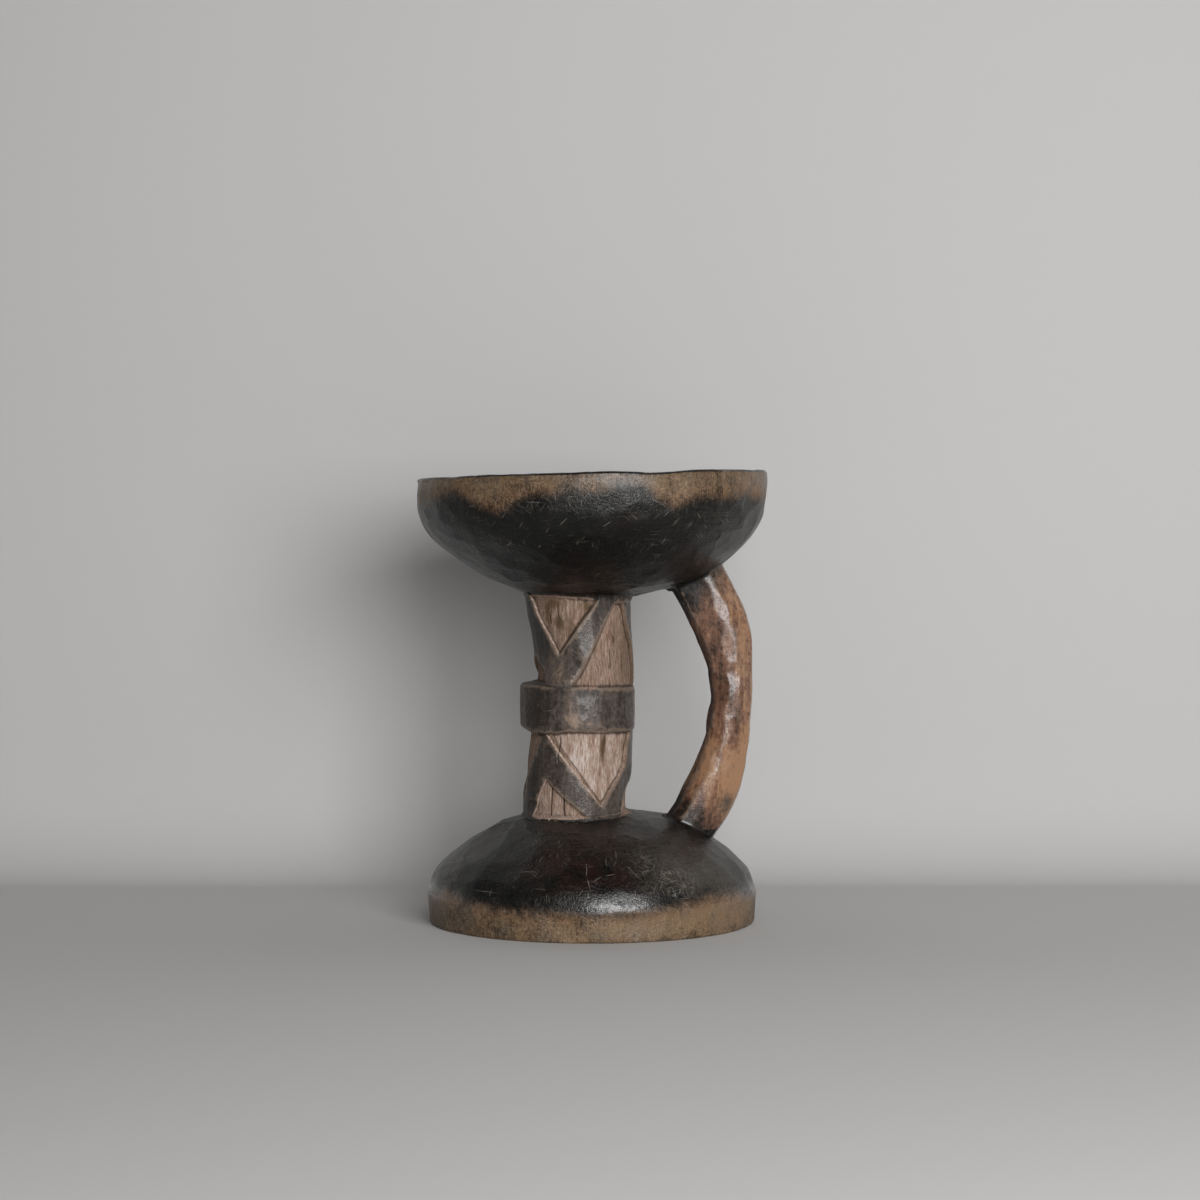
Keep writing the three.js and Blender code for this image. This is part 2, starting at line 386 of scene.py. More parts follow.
def handlePlace(points):
    # the nearest row of the middle line, and the point's place in its cross section in shares
    rows = handleLine()
    nearest = np.zeros((len(points), 5)) + rows[0]
    close = np.flatnonzero(points[:, 0] > handle["beyondX"])
    far = (points[close, :1] - rows[:, 0]) ** 2 + (points[close, 2:] - rows[:, 1]) ** 2
    nearest[close] = rows[np.argmin(far, axis=1)]
    x, z, half, thick, lean = nearest.T
    across = ((points[:, 0] - x) * np.cos(lean) - (points[:, 2] - z) * np.sin(lean)) / half
    return nearest, across, -points[:, 1] / thick


def sectionReach(corners, turn):
    # how far the cross section's straight sides lie from its middle, in each direction
    along = np.linspace(0, 1, 24, endpoint=False)[:, None]
    closed = np.vstack([corners, corners[:1]])
    sides = np.vstack([a + (b - a) * along for a, b in zip(closed, closed[1:])])
    angles = np.arctan2(sides[:, 1], sides[:, 0])
    order = np.argsort(angles)
    return np.interp(turn, angles[order], np.hypot(*sides.T)[order], period=2 * math.pi)


def makeHandle():
    rings = [(x, z, half, thick, -lean) for x, z, half, thick, lean in handleLine()]
    piece = extrudeRings("handle", rings, handle["sides"])
    points = readPoints(piece)
    nearest, across, front = handlePlace(points)
    heights = sorted(handle["sections"])
    corners = np.array([handle["sections"][h] for h in heights])
    share = np.interp(nearest[:, 1], heights, range(len(heights)))
    reach = np.array([sectionReach(c, np.arctan2(front, across)) for c in corners])
    low = np.minimum(share.astype(int), len(heights) - 2)
    picked = np.arange(len(points))
    new = reach[low, picked] * (1 - share + low) + reach[low + 1, picked] * (share - low)
    grow = new / np.maximum(np.hypot(across, front), 0.01) - 1
    x, z, half, thick, lean = nearest.T
    points[:, 0] += grow * across * half * np.cos(lean)
    points[:, 2] -= grow * across * half * np.sin(lean)
    points[:, 1] -= grow * front * thick
    writePoints(piece, points)
    return piece


def fuse(pieces):
    whole = pieces[0]
    for other in pieces[1:]:
        applyModifier(whole, "BOOLEAN", operation="UNION", solver="EXACT", object=other)
        bpy.data.objects.remove(other)
    return whole


pockets = {
    "depth": 2.4,
    "slope": 0.8,              # the walls lean over this width
    "wobble": 0.3,
    "runOn": 6,                # the base runs on this far under the band, bowl or foot
    # the sunk triangles: corners of the base and the tip in degrees, their heights in millimetres
    # soil darkens a whole floor, as dirt and as painted shade
    "rows": [
        {"base": 217, "from": -64, "to": 24, "tip": -30, "tipHeight": 179, "soilAndShade": 0.4, "arrisHighlight": True},
        {"base": 217, "from": 87, "to": 152, "tip": 121, "tipHeight": 181, "soilAndShade": 0.6},
        {"base": 217, "from": 186, "to": 246, "tip": 216, "tipHeight": 181, "soilAndShade": 0.5},
        {"base": 158.8, "from": -14, "to": 98, "tip": 50, "tipHeight": 214, "blunt": 6, "soilAndShade": 0.4},
        {"base": 158.8, "from": 138, "to": 204, "tip": 168, "tipHeight": 210, "soilAndShade": 0.4},
        {"base": 158.8, "from": 232, "to": 315, "tip": 280, "tipHeight": 179, "bow": 9, "soilAndShade": 0.7},
        {"base": 130, "from": -43, "to": 72, "tip": 28, "tipHeight": 79, "bow": 9, "soilAndShade": -0.2,
         "doubled": True, "arrisHighlight": True},
        {"base": 130, "from": 84, "to": 190, "tip": 142, "tipHeight": 84, "soilAndShade": 0.2},
        {"base": 130, "from": 206, "to": 317, "tip": 280, "tipHeight": 80, "soilAndShade": 0.5},
        {"base": 73, "from": -55, "to": 12, "tip": -36, "tipHeight": 97.5, "soilAndShade": 0.1, "share": 0.55},
        {"base": 73, "from": 54, "to": 128, "tip": 90, "tipHeight": 103, "soilAndShade": 0.4},
        {"base": 73, "from": 158, "to": 258, "tip": 204, "tipHeight": 101, "soilAndShade": 0.3},
    ],
    # knots and stains on their floors: angle, height, spreads, how dark
    "stains": [(28, 118, 3.6, 10, 1.8), (2, 110, 12, 10, -1.4), (17, 94, 4, 6, -1.2),
               (-25, 201, 4.5, 4, 1.3), (-12, 196, 5, 9, 0.5), (8, 212, 6, 4, 0.7), (-40, 206, 4, 8, 0.9),
               (-30, 214, 8, 3, 0.9), (66, 120, 6, 20, 0.3), (42, 190, 5, 8, 0.3), (66, 175, 12, 20, 0.3),
               (150, 110, 6, 14, 0.6)],
}


def insideTriangle(corners, angle, z):
    # millimetres to the nearest side, positive inside, and to the side that starts at "from"
    perDegree = math.radians(column["halfDepth"])
    blunt, bow = corners.get("blunt", 0), corners.get("bow", 0)
    middle = (corners["from"] + corners["to"]) / 2
    turn = aroundFrom(angle, middle)
    up = 1 if corners["tipHeight"] > corners["base"] else -1
    rise = abs(corners["tipHeight"] - corners["base"])
    x, y = turn * perDegree, (z - corners["base"]) * up
    first, firstTip, last, lastTip = (
        np.array([(at - middle) * perDegree, height])
        for at, height in ((corners["from"], 0), (corners["tip"] - blunt, rise),
                           (corners["to"], 0), (corners["tip"] + blunt, rise)))
    bulged = (last + lastTip) / 2 + np.array([bow * perDegree, 0])
    nearest, toFirst = np.full(len(x), 9.0), None
    for start, end in [(first, firstTip), (firstTip, lastTip), (lastTip, bulged), (bulged, last)]:
        along = end - start
        length = np.hypot(*along)
        if length < 0.01:
            continue
        distance = ((x - start[0]) * along[1] - (y - start[1]) * along[0]) / length
        toFirst = distance if toFirst is None else toFirst
        nearest = np.minimum(nearest, distance)
    return np.minimum(nearest, y + pockets["runOn"]), toFirst


def sunkPlace(points):
    # millimetres into the nearest sunk triangle and from its first side, how deep the relief is
    # there, how soiled and painted with shade, and the point's place on the column
    angle, out = columnPlace(points)
    z = points[:, 2]
    best, first = np.full(len(points), -9.0), np.full(len(points), 9.0)
    depth, soilAndShade = np.zeros(len(points)), np.zeros(len(points))
    wobble = pockets["wobble"] * waves(angle / 9, z / 6, 21)
    middle = (band["bottom"] + band["top"]) / 2
    for corners in pockets["rows"]:
        inside, toFirst = insideTriangle(corners, angle, z)
        inside = np.where((z > middle) == (corners["base"] > middle), inside + wobble, -9)
        cut = pockets["depth"] * corners.get("share", 1) * fade(inside, -0.2, pockets["slope"])
        # painted shade: darker near the walls, but not along the first side, which faces the lamp
        dirtAndShade = corners["soilAndShade"] + 0.5 * (1 - fade(inside, 0.6, 2.4)) * fade(toFirst, 3, 5)
        if corners.get("doubled"):     # a narrow step runs along this side, with a scored line
            cut *= 0.4 + 0.6 * fade(toFirst, 2.2, 3.0)
            cut += 0.8 * bell(toFirst, 2.6, 0.45) * fade(inside, 0.6, 1.4)
            dirtAndShade += 1.1 * fade(toFirst, 0.8, 1.3) * (1 - fade(toFirst, 2.2, 2.9))
        # arrisHighlight paints a pale line down the first side, a painted highlight where that wall faces
        # the lamp
        toFirst = toFirst if corners.get("arrisHighlight") else np.full(len(z), 9.0)
        deeper = inside > best
        depth = np.where(deeper, cut, depth)
        soilAndShade = np.where(deeper, dirtAndShade, soilAndShade)
        first = np.where(deeper, toFirst, first)
        best = np.maximum(best, inside)
    soilAndShade += patchwork(pockets["stains"], angle, z)
    return best, first, depth, soilAndShade, angle, out


cuts = {
    "seed": 7,
    "voxel": 1.0,
    "fineHeights": (66, 223),        # the shaft is divided once more between these heights
    "fineRadius": 53,
    "triangles": 196000,
    # where, how many strokes, their depth from and to, how far one reaches, how it may lean
    "strokes": [
        ("bowl", 760, 0.12, 0.58, 17, 0.035),
        ("dome", 440, 0.12, 0.55, 17, 0.035),
        ("edge", 110, 0.1, 0.4, 16, 0.02),
        ("handle", 230, 0.08, 0.36, 12, 0.04),
        ("column", 210, 0.1, 0.4, 12, 0.03),
        ("band", 80, 0.12, 0.45, 12, 0.05),
        ("lip", 40, 0.1, 0.25, 16, 0.03),
    ],
    "cube": 27.0,              # more than the longest reach
    # single strokes seen from the front: angle, height, leaning right, leaning up, depth, reach
    "marked": [
        ("column", 9, 194, 8, 0, 0.75, 15),
        ("column", 19, 203, 27, 0, 0.7, 14),
        ("band", 12, 155, 12, 3.5, 0.85, 18),
        ("band", 34, 146, 33, 0, 0.5, 16),
        ("band", -22, 142, -16, -3, 0.5, 15),
        ("edge", -7, 10, -6, 0, 0.5, 17),
        ("edge", 16, 10, 15, 0, 0.5, 17),
    ],
    # cracks and holes on the column: angle, from and to height, width, depth
    "cracks": [(-28.3, 73, 92.8, 0.55, 1.3), (-12.8, 73, 86.2, 0.5, 1.2), (-37, 200, 208, 0.5, 1.2),
               (-26, 205, 215, 0.4, 0.8), (42, 187.5, 192.5, 0.7, 1.5), (35, 170, 184, 0.45, 0.8),
               (30.5, 119, 128, 0.9, 0.8), (-22, 108, 127, 0.5, 0.8), (57, 160, 181, 0.5, 0.8),
               (150, 88, 110, 0.5, 1.0), (178, 165, 190, 0.5, 1.0), (-95, 165, 172, 0.5, 0.9)],
    # knots and dents on the foot and the bowl: angle, height, radius, depth
    "dents": [(29, 28.3, 1.8, 1.5), (-140, 40, 2.6, 0.5)],
    "dentsRadius": 105,        # degrees round the stool are taken as millimetres at this radius
    "dentsBeyond": 80,
}


def regions(points, normals):
    # which part of the carving each point belongs to
    angle, out = columnPlace(points)
    x, y, z = points.T
    r = np.hypot(x, y)
    across, front = handlePlace(points)[1:]
    near = r < column["around"]
    bandOut = np.hypot(x - band["middle"], y) - band["radius"]
    bandLow, bandHigh = bandEdges(x, frontAngle(points, band["middle"]))
    where = {}
    low, high = handle["apartHeights"]
    where["handle"] = (np.hypot(across, front) < handle["skin"]) & (x > handle["apartX"])
    where["handle"] &= (z > low) & (z < high)
    deepIn = np.minimum(z - bandLow, bandHigh - z)
    where["band"] = (deepIn > -0.4) & ((bandOut > -1.6) | (deepIn > 0.8)) & near
    inBand = (z > bandLow - 0.8) & (z < bandHigh + 3.6) & (out > 0.7) & (bandOut < 2) & near
    inBand |= where["band"]
    where["ledge"] = inBand & ~where["band"]
    where["column"] = (out < 1.2) & (z > column["bottom"] - 2) & (z < column["top"] + 2) & ~inBand
    free = ~(where["handle"] | where["column"] | inBand)
    rim = seat["height"] + seatLean(points)
    inner = seat["radius"] - seat["lipWidth"]
    where["lip"] = free & (z > rim - 4.5) & (r > inner - 1.5) & (normals[:, 2] > 0.25)
    where["dish"] = free & (z > seat["dishAbove"]) & (normals[:, 2] > 0.05) & (r < inner + 1)
    where["dish"] &= ~where["lip"]
    where["bowl"] = free & (z > seat["bowlAbove"]) & ~where["lip"] & ~where["dish"]
    where["under"] = free & (z < 1.5) & (normals[:, 2] < -0.5)
    where["edge"] = free & (z < foot["edgeHeight"] + 2) & ~where["under"]
    where["dome"] = free & (z < foot["domeBelow"]) & ~where["edge"] & ~where["under"]
    return where


def divideShaft(piece):
    # smaller faces on the column and the band, for the sharp sides of the sunk triangles
    points = readPoints(piece)
    low, high = cuts["fineHeights"]
    inside = (points[:, 2] > low) & (points[:, 2] < high)
    inside &= np.hypot(points[:, 0] + 5, points[:, 1]) < cuts["fineRadius"]
    selectOnly(piece)
    bpy.ops.object.mode_set(mode="EDIT")
    bpy.ops.mesh.select_mode(type="VERT")
    bpy.ops.mesh.select_all(action="DESELECT")
    bpy.ops.object.mode_set(mode="OBJECT")
    piece.data.vertices.foreach_set("select", inside)
    bpy.ops.object.mode_set(mode="EDIT")
    bpy.ops.mesh.select_mode(type="FACE")
    bpy.ops.mesh.subdivide(number_cuts=1)
    bpy.ops.object.mode_set(mode="OBJECT")


def cubeAt(place):
    # the cube that each place lies in, counted along x, y and z from a far corner
    return (np.floor(place / cuts["cube"]) + 50).astype(int).T


def cubeKey(a, b, c):
    return (a * 100 + b) * 100 + c


def intoCubes(points):
    # the points' numbers sorted into cubes, to find the ones near a place quickly
    key = cubeKey(*cubeAt(points))
    order = np.argsort(key, kind="stable")
    keys, starts = np.unique(key[order], return_index=True)
    return dict(zip(keys.tolist(), np.split(order, starts[1:])))


def stroke(points, cubes, middle, normal, depth, reach, hold):
    # one flat cut that runs out at its edge: what stands above it is taken off
    a, b, c = cubeAt(middle)
    keys = [cubeKey(a + i, b + j, c + k)
            for i in (-1, 0, 1) for j in (-1, 0, 1) for k in (-1, 0, 1)]
    near = np.concatenate([cubes[key] for key in keys if key in cubes])
    offset = points[near] - middle
    share = np.sqrt((offset ** 2).sum(axis=1)) / reach
    above = offset @ normal + depth * (1 - share ** 2)
    taken = np.clip(above, 0, 2.2 * depth) * (1 - fade(share, 0.75, 1.1)) * hold[near]
    points[near] -= taken[:, None] * normal


def strikeAll(piece):
    points, normals = readPoints(piece), readNormals(piece)
    where = regions(points, normals)
    random = np.random.default_rng(cuts["seed"])
    z = points[:, 2]
    swelling = fade(strapSwell(columnPlace(points)[0], z), 0.3, 1.5)
    low, fullLow, fullHigh, high = handle["struck"]
    # strokes fade out where a surface runs on flush into its neighbour
    hold = {name: np.ones(len(points)) for name in where}
    hold["column"] = fade(np.maximum(z - band["top"] - 3.4, band["bottom"] - 6 - z), 0, 5)
    hold["band"] = 1 - swelling * fade(z, band["top"] - 9, band["top"])
    hold["edge"] = 1 - fade(z, foot["edgeHeight"] - 9, foot["edgeHeight"] + 2)
    hold["dome"] = fade(z, foot["edgeHeight"] + 1, foot["edgeHeight"] + 8)
    hold["handle"] = fade(z, low, fullLow) * (1 - fade(z, fullHigh, high))
    for place, count, shallow, deep, reach, lean in cuts["strokes"]:
        here = np.flatnonzero(where[place])
        spot, strength = points[here], hold[place][here]
        cubes = intoCubes(spot)
        for i in random.integers(0, len(here), count):
            middle, normal = spot[i].copy(), normals[here[i]] + random.normal(0, lean, 3)
            normal /= np.linalg.norm(normal)
            depth = random.uniform(shallow, deep)
            far = reach * random.uniform(0.7, 1.2)
            stroke(spot, cubes, middle, normal, depth, far, strength)
        for name, at, height, leanRight, leanUp, depth, far in cuts["marked"]:
            if name != place:
                continue
            aside = (frontAngle(spot, band["middle"]) - at) * 0.66
            middle = spot[np.argmin(np.hypot(aside, spot[:, 2] - height))].copy()
            normal = np.array(facing(leanRight, leanUp))
            stroke(spot, cubes, middle, normal, depth, far, strength)
        points[here] = spot
    writePoints(piece, points)
    return where


def crackDepth(angle, z):
    # the narrow cracks, and how deep they are
    perDegree = math.radians(column["halfDepth"])
    depth = np.zeros(len(z))
    for at, low, high, width, deep in cuts["cracks"]:
        bend = 0.5 * waves(z / 6, 0 * z, int(at) % 50)
        far = aroundFrom(angle, at) * perDegree + bend
        crack = deep * bell(far, 0, width) * fade(z, low - 1, low + 2)
        depth += crack * (1 - fade(z, high - 3, high + 1))
    return depth


def sinkPockets(piece, where):
    points = readPoints(piece)
    best, _, depth, _, angle, out = sunkPlace(points)
    z, arc = points[:, 2], angle * math.radians(column["halfDepth"])
    floor = fade(best, 0.6, 1.6)
    gouges = 0.13 * waves(arc / 2.1, z / 9, 3) + 0.08 * waves(arc / 1.1, z / 4, 4)
    gouges += 0.25 * waves(arc / 9, z / 11, 5)
    depth = depth + floor * (gouges + 0.1) + crackDepth(angle, z)
    turn = np.radians(angle)
    inward = np.stack([-np.sin(turn), np.cos(turn), np.zeros(len(turn))], axis=1)
    bottom, top = column["bottom"], column["top"]
    ends = fade(z, bottom - 1, bottom + 1) * (1 - fade(z, top + 1, top + 3))
    points += inward * (depth * where["column"] * ends)[:, None]
    # a shallow score where the dome and the bowl meet the column
    for region, way in (("dome", -1), ("bowl", 1)):
        score = where[region] * bell(out, 1.6, 0.7) * (0.5 + 0.3 * waves(angle / 9, 0 * z, 8))
        points[:, 2] += way * score
    # the dish keeps soft hollows from the adze
    hollow = 0.35 * waves(points[:, 0] / 15, points[:, 1] / 15, 11) * where["dish"]
    points[:, 2] += np.minimum(hollow, 0)
    around = frontAngle(points)
    radius = np.hypot(points[:, 0], points[:, 1])
    nicks = np.maximum(0, waves(around / 2.1, 0 * z, 51) + 0.6 * waves(around / 5, 0 * z, 52) - 0.35)
    chipped = 0.9 * nicks * (1 - fade(points[:, 2], 0.5, 3.5))
    chipped *= (where["edge"] | where["under"]) * (radius > column["around"])
    points[:, :2] *= (1 - chipped / np.maximum(radius, 1))[:, None]
    rim = seat["height"] + seatLean(points)
    points[:, 2] -= 0.25 * nicks * fade(points[:, 2] - rim, -2.5, -0.5) * where["lip"]
    for at, height, wide, deep in cuts["dents"]:
        aside = aroundFrom(around, at) * math.radians(cuts["dentsRadius"])
        far = np.hypot(aside, points[:, 2] - height)
        dent = deep * bell(far, 0, wide) * (radius > cuts["dentsBeyond"])
        points[:, :2] *= (1 - dent / np.maximum(radius, 1))[:, None]
    points[:, 2] = np.maximum(points[:, 2], 0)
    writePoints(piece, points)


def bulge(piece, rounds):
    # how far each point stands above its surroundings, after a few rounds and after many
    points, normals = readPoints(piece), readNormals(piece)
    edges = np.empty(len(piece.data.edges) * 2, dtype=np.int32)
    piece.data.edges.foreach_get("vertices", edges)
    a, b = edges.reshape(-1, 2).T
    count = np.bincount(a, minlength=len(points)) + np.bincount(b, minlength=len(points))
    smooth, found = points.copy(), []
    for i in range(rounds[-1]):
        total = np.stack([np.bincount(a, smooth[b, k], len(points))
                          + np.bincount(b, smooth[a, k], len(points)) for k in range(3)], axis=1)
        smooth = total / count[:, None]
        if i + 1 in rounds:
            found.append(np.einsum("ij,ij->i", points - smooth, normals))
    return found


def triangles(piece):
    return sum(len(face.vertices) - 2 for face in piece.data.polygons)


def writeAttribute(piece, name, values):
    layer = piece.data.attributes.new(name, "FLOAT", "POINT")
    layer.data.foreach_set("value", values.astype(np.float32))


print("extruding the seat, column, band, foot and handle")
stool = fuse([makeSeat(), makeColumn(), makeBand(), makeFoot(), makeHandle()])
stool.name = "carvedStool"
print("one block with faces:", len(stool.data.polygons))
applyModifier(stool, "REMESH", mode="VOXEL", voxel_size=cuts["voxel"] * mm, adaptivity=0)
divideShaft(stool)
applyModifier(stool, "SMOOTH", factor=0.5, iterations=3)
print("remeshed, faces:", len(stool.data.polygons))
where = strikeAll(stool)
sinkPockets(stool, where)
applyModifier(stool, "SMOOTH", factor=0.3, iterations=1)
# the bulge: raised edges show wear, and creases and hollows get painted shade in the material
near, wide = bulge(stool, (5, 16))
wearAndCreaseShade = np.where(where["column"] | where["band"] | where["ledge"], wide, near)
points = readPoints(stool)
# soot stays on the lip, dirt along the bottom, and no hand or floor rubs the bowl and the dome
wearAndCreaseShade[points[:, 2] > seat["height"] + seatLean(points) - 4] = 0
wearAndCreaseShade[points[:, 2] < 4] = 0
wearAndCreaseShade[where["bowl"] | where["dome"]] *= 0.45
writeAttribute(stool, "wearAndCreaseShade", wearAndCreaseShade)
if triangles(stool) > cuts["triangles"]:
    applyModifier(stool, "DECIMATE", ratio=cuts["triangles"] / triangles(stool))
print("carved, triangles:", triangles(stool))

patina = {
    # lower limit of the brown, rubbed rim: angle and height
    "rim": [(-180, 284), (-140, 281), (-110, 286), (-85, 281), (-70, 279), (-57, 284), (-50, 288.5),
            (-44, 284), (-36, 276), (-31, 274.5), (-25, 279), (-19, 285), (-7, 287), (2, 285.5),
            (9, 290.5), (14, 292.5), (18, 288.5), (23, 279), (27, 277.5), (36, 284), (46, 283.5),
            (60, 286), (71, 282), (100, 286), (125, 279), (150, 285), (180, 284)],
    # upper limit of the brown foot edge
    "edge": [(-180, 20), (-120, 18), (-75, 20), (-62, 25), (-50, 22), (-35, 20), (-20, 18.5), (-5, 18),
             (8, 18), (20, 19), (32, 22), (45, 24), (60, 25), (75, 21), (120, 19), (180, 20)],
    "handleTop": 219,          # the handle is dark above and below these heights
    "handleFoot": 66,
    "handleInside": -0.98,     # and on its inner side, as a share of its half width
    # patches with more or less colour rubbed off: angle, height, their spreads, how much
    "barerAndSheen": {
        "column": [(-33, 168, 15, 11, 1.0), (-64, 200, 16, 22, -1.3), (27, 209, 9, 7, -0.25),
                   (-10, 97, 12, 9, 0.3), (26, 78, 14, 7, 0.35), (52, 88, 10, 12, 0.35),
                   (-56, 100, 12, 24, -0.6), (10, 200, 8, 14, 0.2), (120, 100, 30, 30, 0.3),
                   (190, 190, 40, 20, 0.3), (-110, 190, 20, 20, -0.2)],
        "band": [(-8, 137, 10, 5, 1.7), (-13, 147, 10, 9, 0.6), (10, 134, 18, 2.5, 0.8),
                 (38, 146, 14, 14, -0.1), (-50, 146, 20, 20, -0.4), (33, 155, 5, 4, 0.5),
                 (110, 146, 25, 10, 0.5), (-160, 140, 30, 8, 0.6)],
        "dome": [(34, 40, 15, 14, 1.0), (56, 38, 16, 22, 0.75), (5, 62, 55, 12, 0.55),
                 (-66, 45, 14, 30, 0.4), (29, 28.3, 2.6, 3, -2.5), (150, 40, 30, 16, 0.5),
                 (-130, 45, 30, 16, 0.4)],
        "edge": [(46, 14, 26, 10, 1.5), (-2, 6, 22, 10, 0.5), (-66, 16, 14, 14, 0.25),
                 (-50, 6, 20, 8, -0.3), (160, 12, 30, 20, 0.3)],
        "bowl": [(10, 226, 60, 16, -0.45), (50, 266, 18, 16, 0.35), (74, 272, 9, 26, 0.25),
                 (6, 281, 11, 6, 0.1), (-80, 262, 8, 26, 0.3), (150, 262, 30, 20, 0.4)],
    },
    # patches with a red cast under the soot
    "redder": {
        "dome": [(-6, 45, 20, 12, 0.9), (14, 60, 24, 10, 0.35), (170, 45, 30, 12, 0.6)],
        "bowl": [(-6, 219, 20, 4, 0.6), (14, 268, 8, 8, 0.25), (-160, 235, 30, 12, 0.4)],
    },
    # patches of dense fine scratches
    "scuffed": {
        "dome": [(31, 38, 8, 9, 2.4), (21, 48, 7, 5, 1.8), (10, 24, 16, 5, 0.6), (-20, 40, 14, 14, 0.25),
                 (-120, 35, 12, 8, 0.7)],
        "bowl": [(-4, 281, 9, 6, 0.4), (12, 284, 10, 8, 0.45), (-18, 277, 9, 4, 0.6),
                 (30, 275, 10, 6, 0.3), (120, 268, 16, 8, 0.6)],
        "band": [(12, 152, 7, 8, 0.6)],
        "column": [(11, 196, 6, 14, 0.6)],
    },
    # single scratches: angle, height, length, turn from level, width
    "scratches": [
        ("dome", -25, 43.5, 12, 6, 0.5), ("dome", -18, 34, 8, -6, 0.35), ("dome", -22, 51, 10, 78, 0.35),
        ("dome", -2, 45.5, 15, 93, 0.45), ("dome", -1, 37, 12, 99, 0.4), ("dome", -1, 30, 6, 90, 0.4),
        ("dome", 2, 39.7, 8, 50, 0.45), ("dome", 7, 42.3, 7, 17, 0.5), ("dome", 6, 49.7, 12, 87, 0.35),
        ("dome", 11, 54.8, 9, 89, 0.4), ("dome", 16, 43.3, 18, -70, 0.4), ("dome", 21, 44, 8, 14, 0.55),
        ("dome", -17, 60.8, 7, -80, 0.5), ("dome", -40, 30, 18, 2, 0.35),
        ("bowl", -9, 266.8, 8, 57, 0.5), ("bowl", 5, 265.6, 6.5, 50, 0.5),
        ("bowl", -18, 278.6, 9, 0, 0.5), ("bowl", -1, 226, 14, 1, 0.6),
        ("bowl", 16, 228.6, 11, 7, 0.45), ("bowl", -31, 253, 4, 50, 0.7),
        ("bowl", -19, 252, 3, 52, 0.8), ("bowl", 37, 270.6, 6, -57, 0.5),
        ("bowl", 20, 280.4, 7, -40, 0.45), ("bowl", 64, 267, 9, -30, 0.5),
        ("bowl", 160, 262, 12, 40, 0.5), ("dome", -150, 45, 16, 20, 0.5),
    ],
    "aroundRadius": 80,        # of the drum that the bowl and foot are unrolled from
    "upShare": 0.65,           # how much the radius counts for in the unrolled height
    "parting": 150,            # the foot is unrolled below this height, the bowl above it
    "handleRadius": 17,        # of the drum that the handle is unrolled from
    "limit": 12,               # how far in millimetres the brown's limit is followed
}


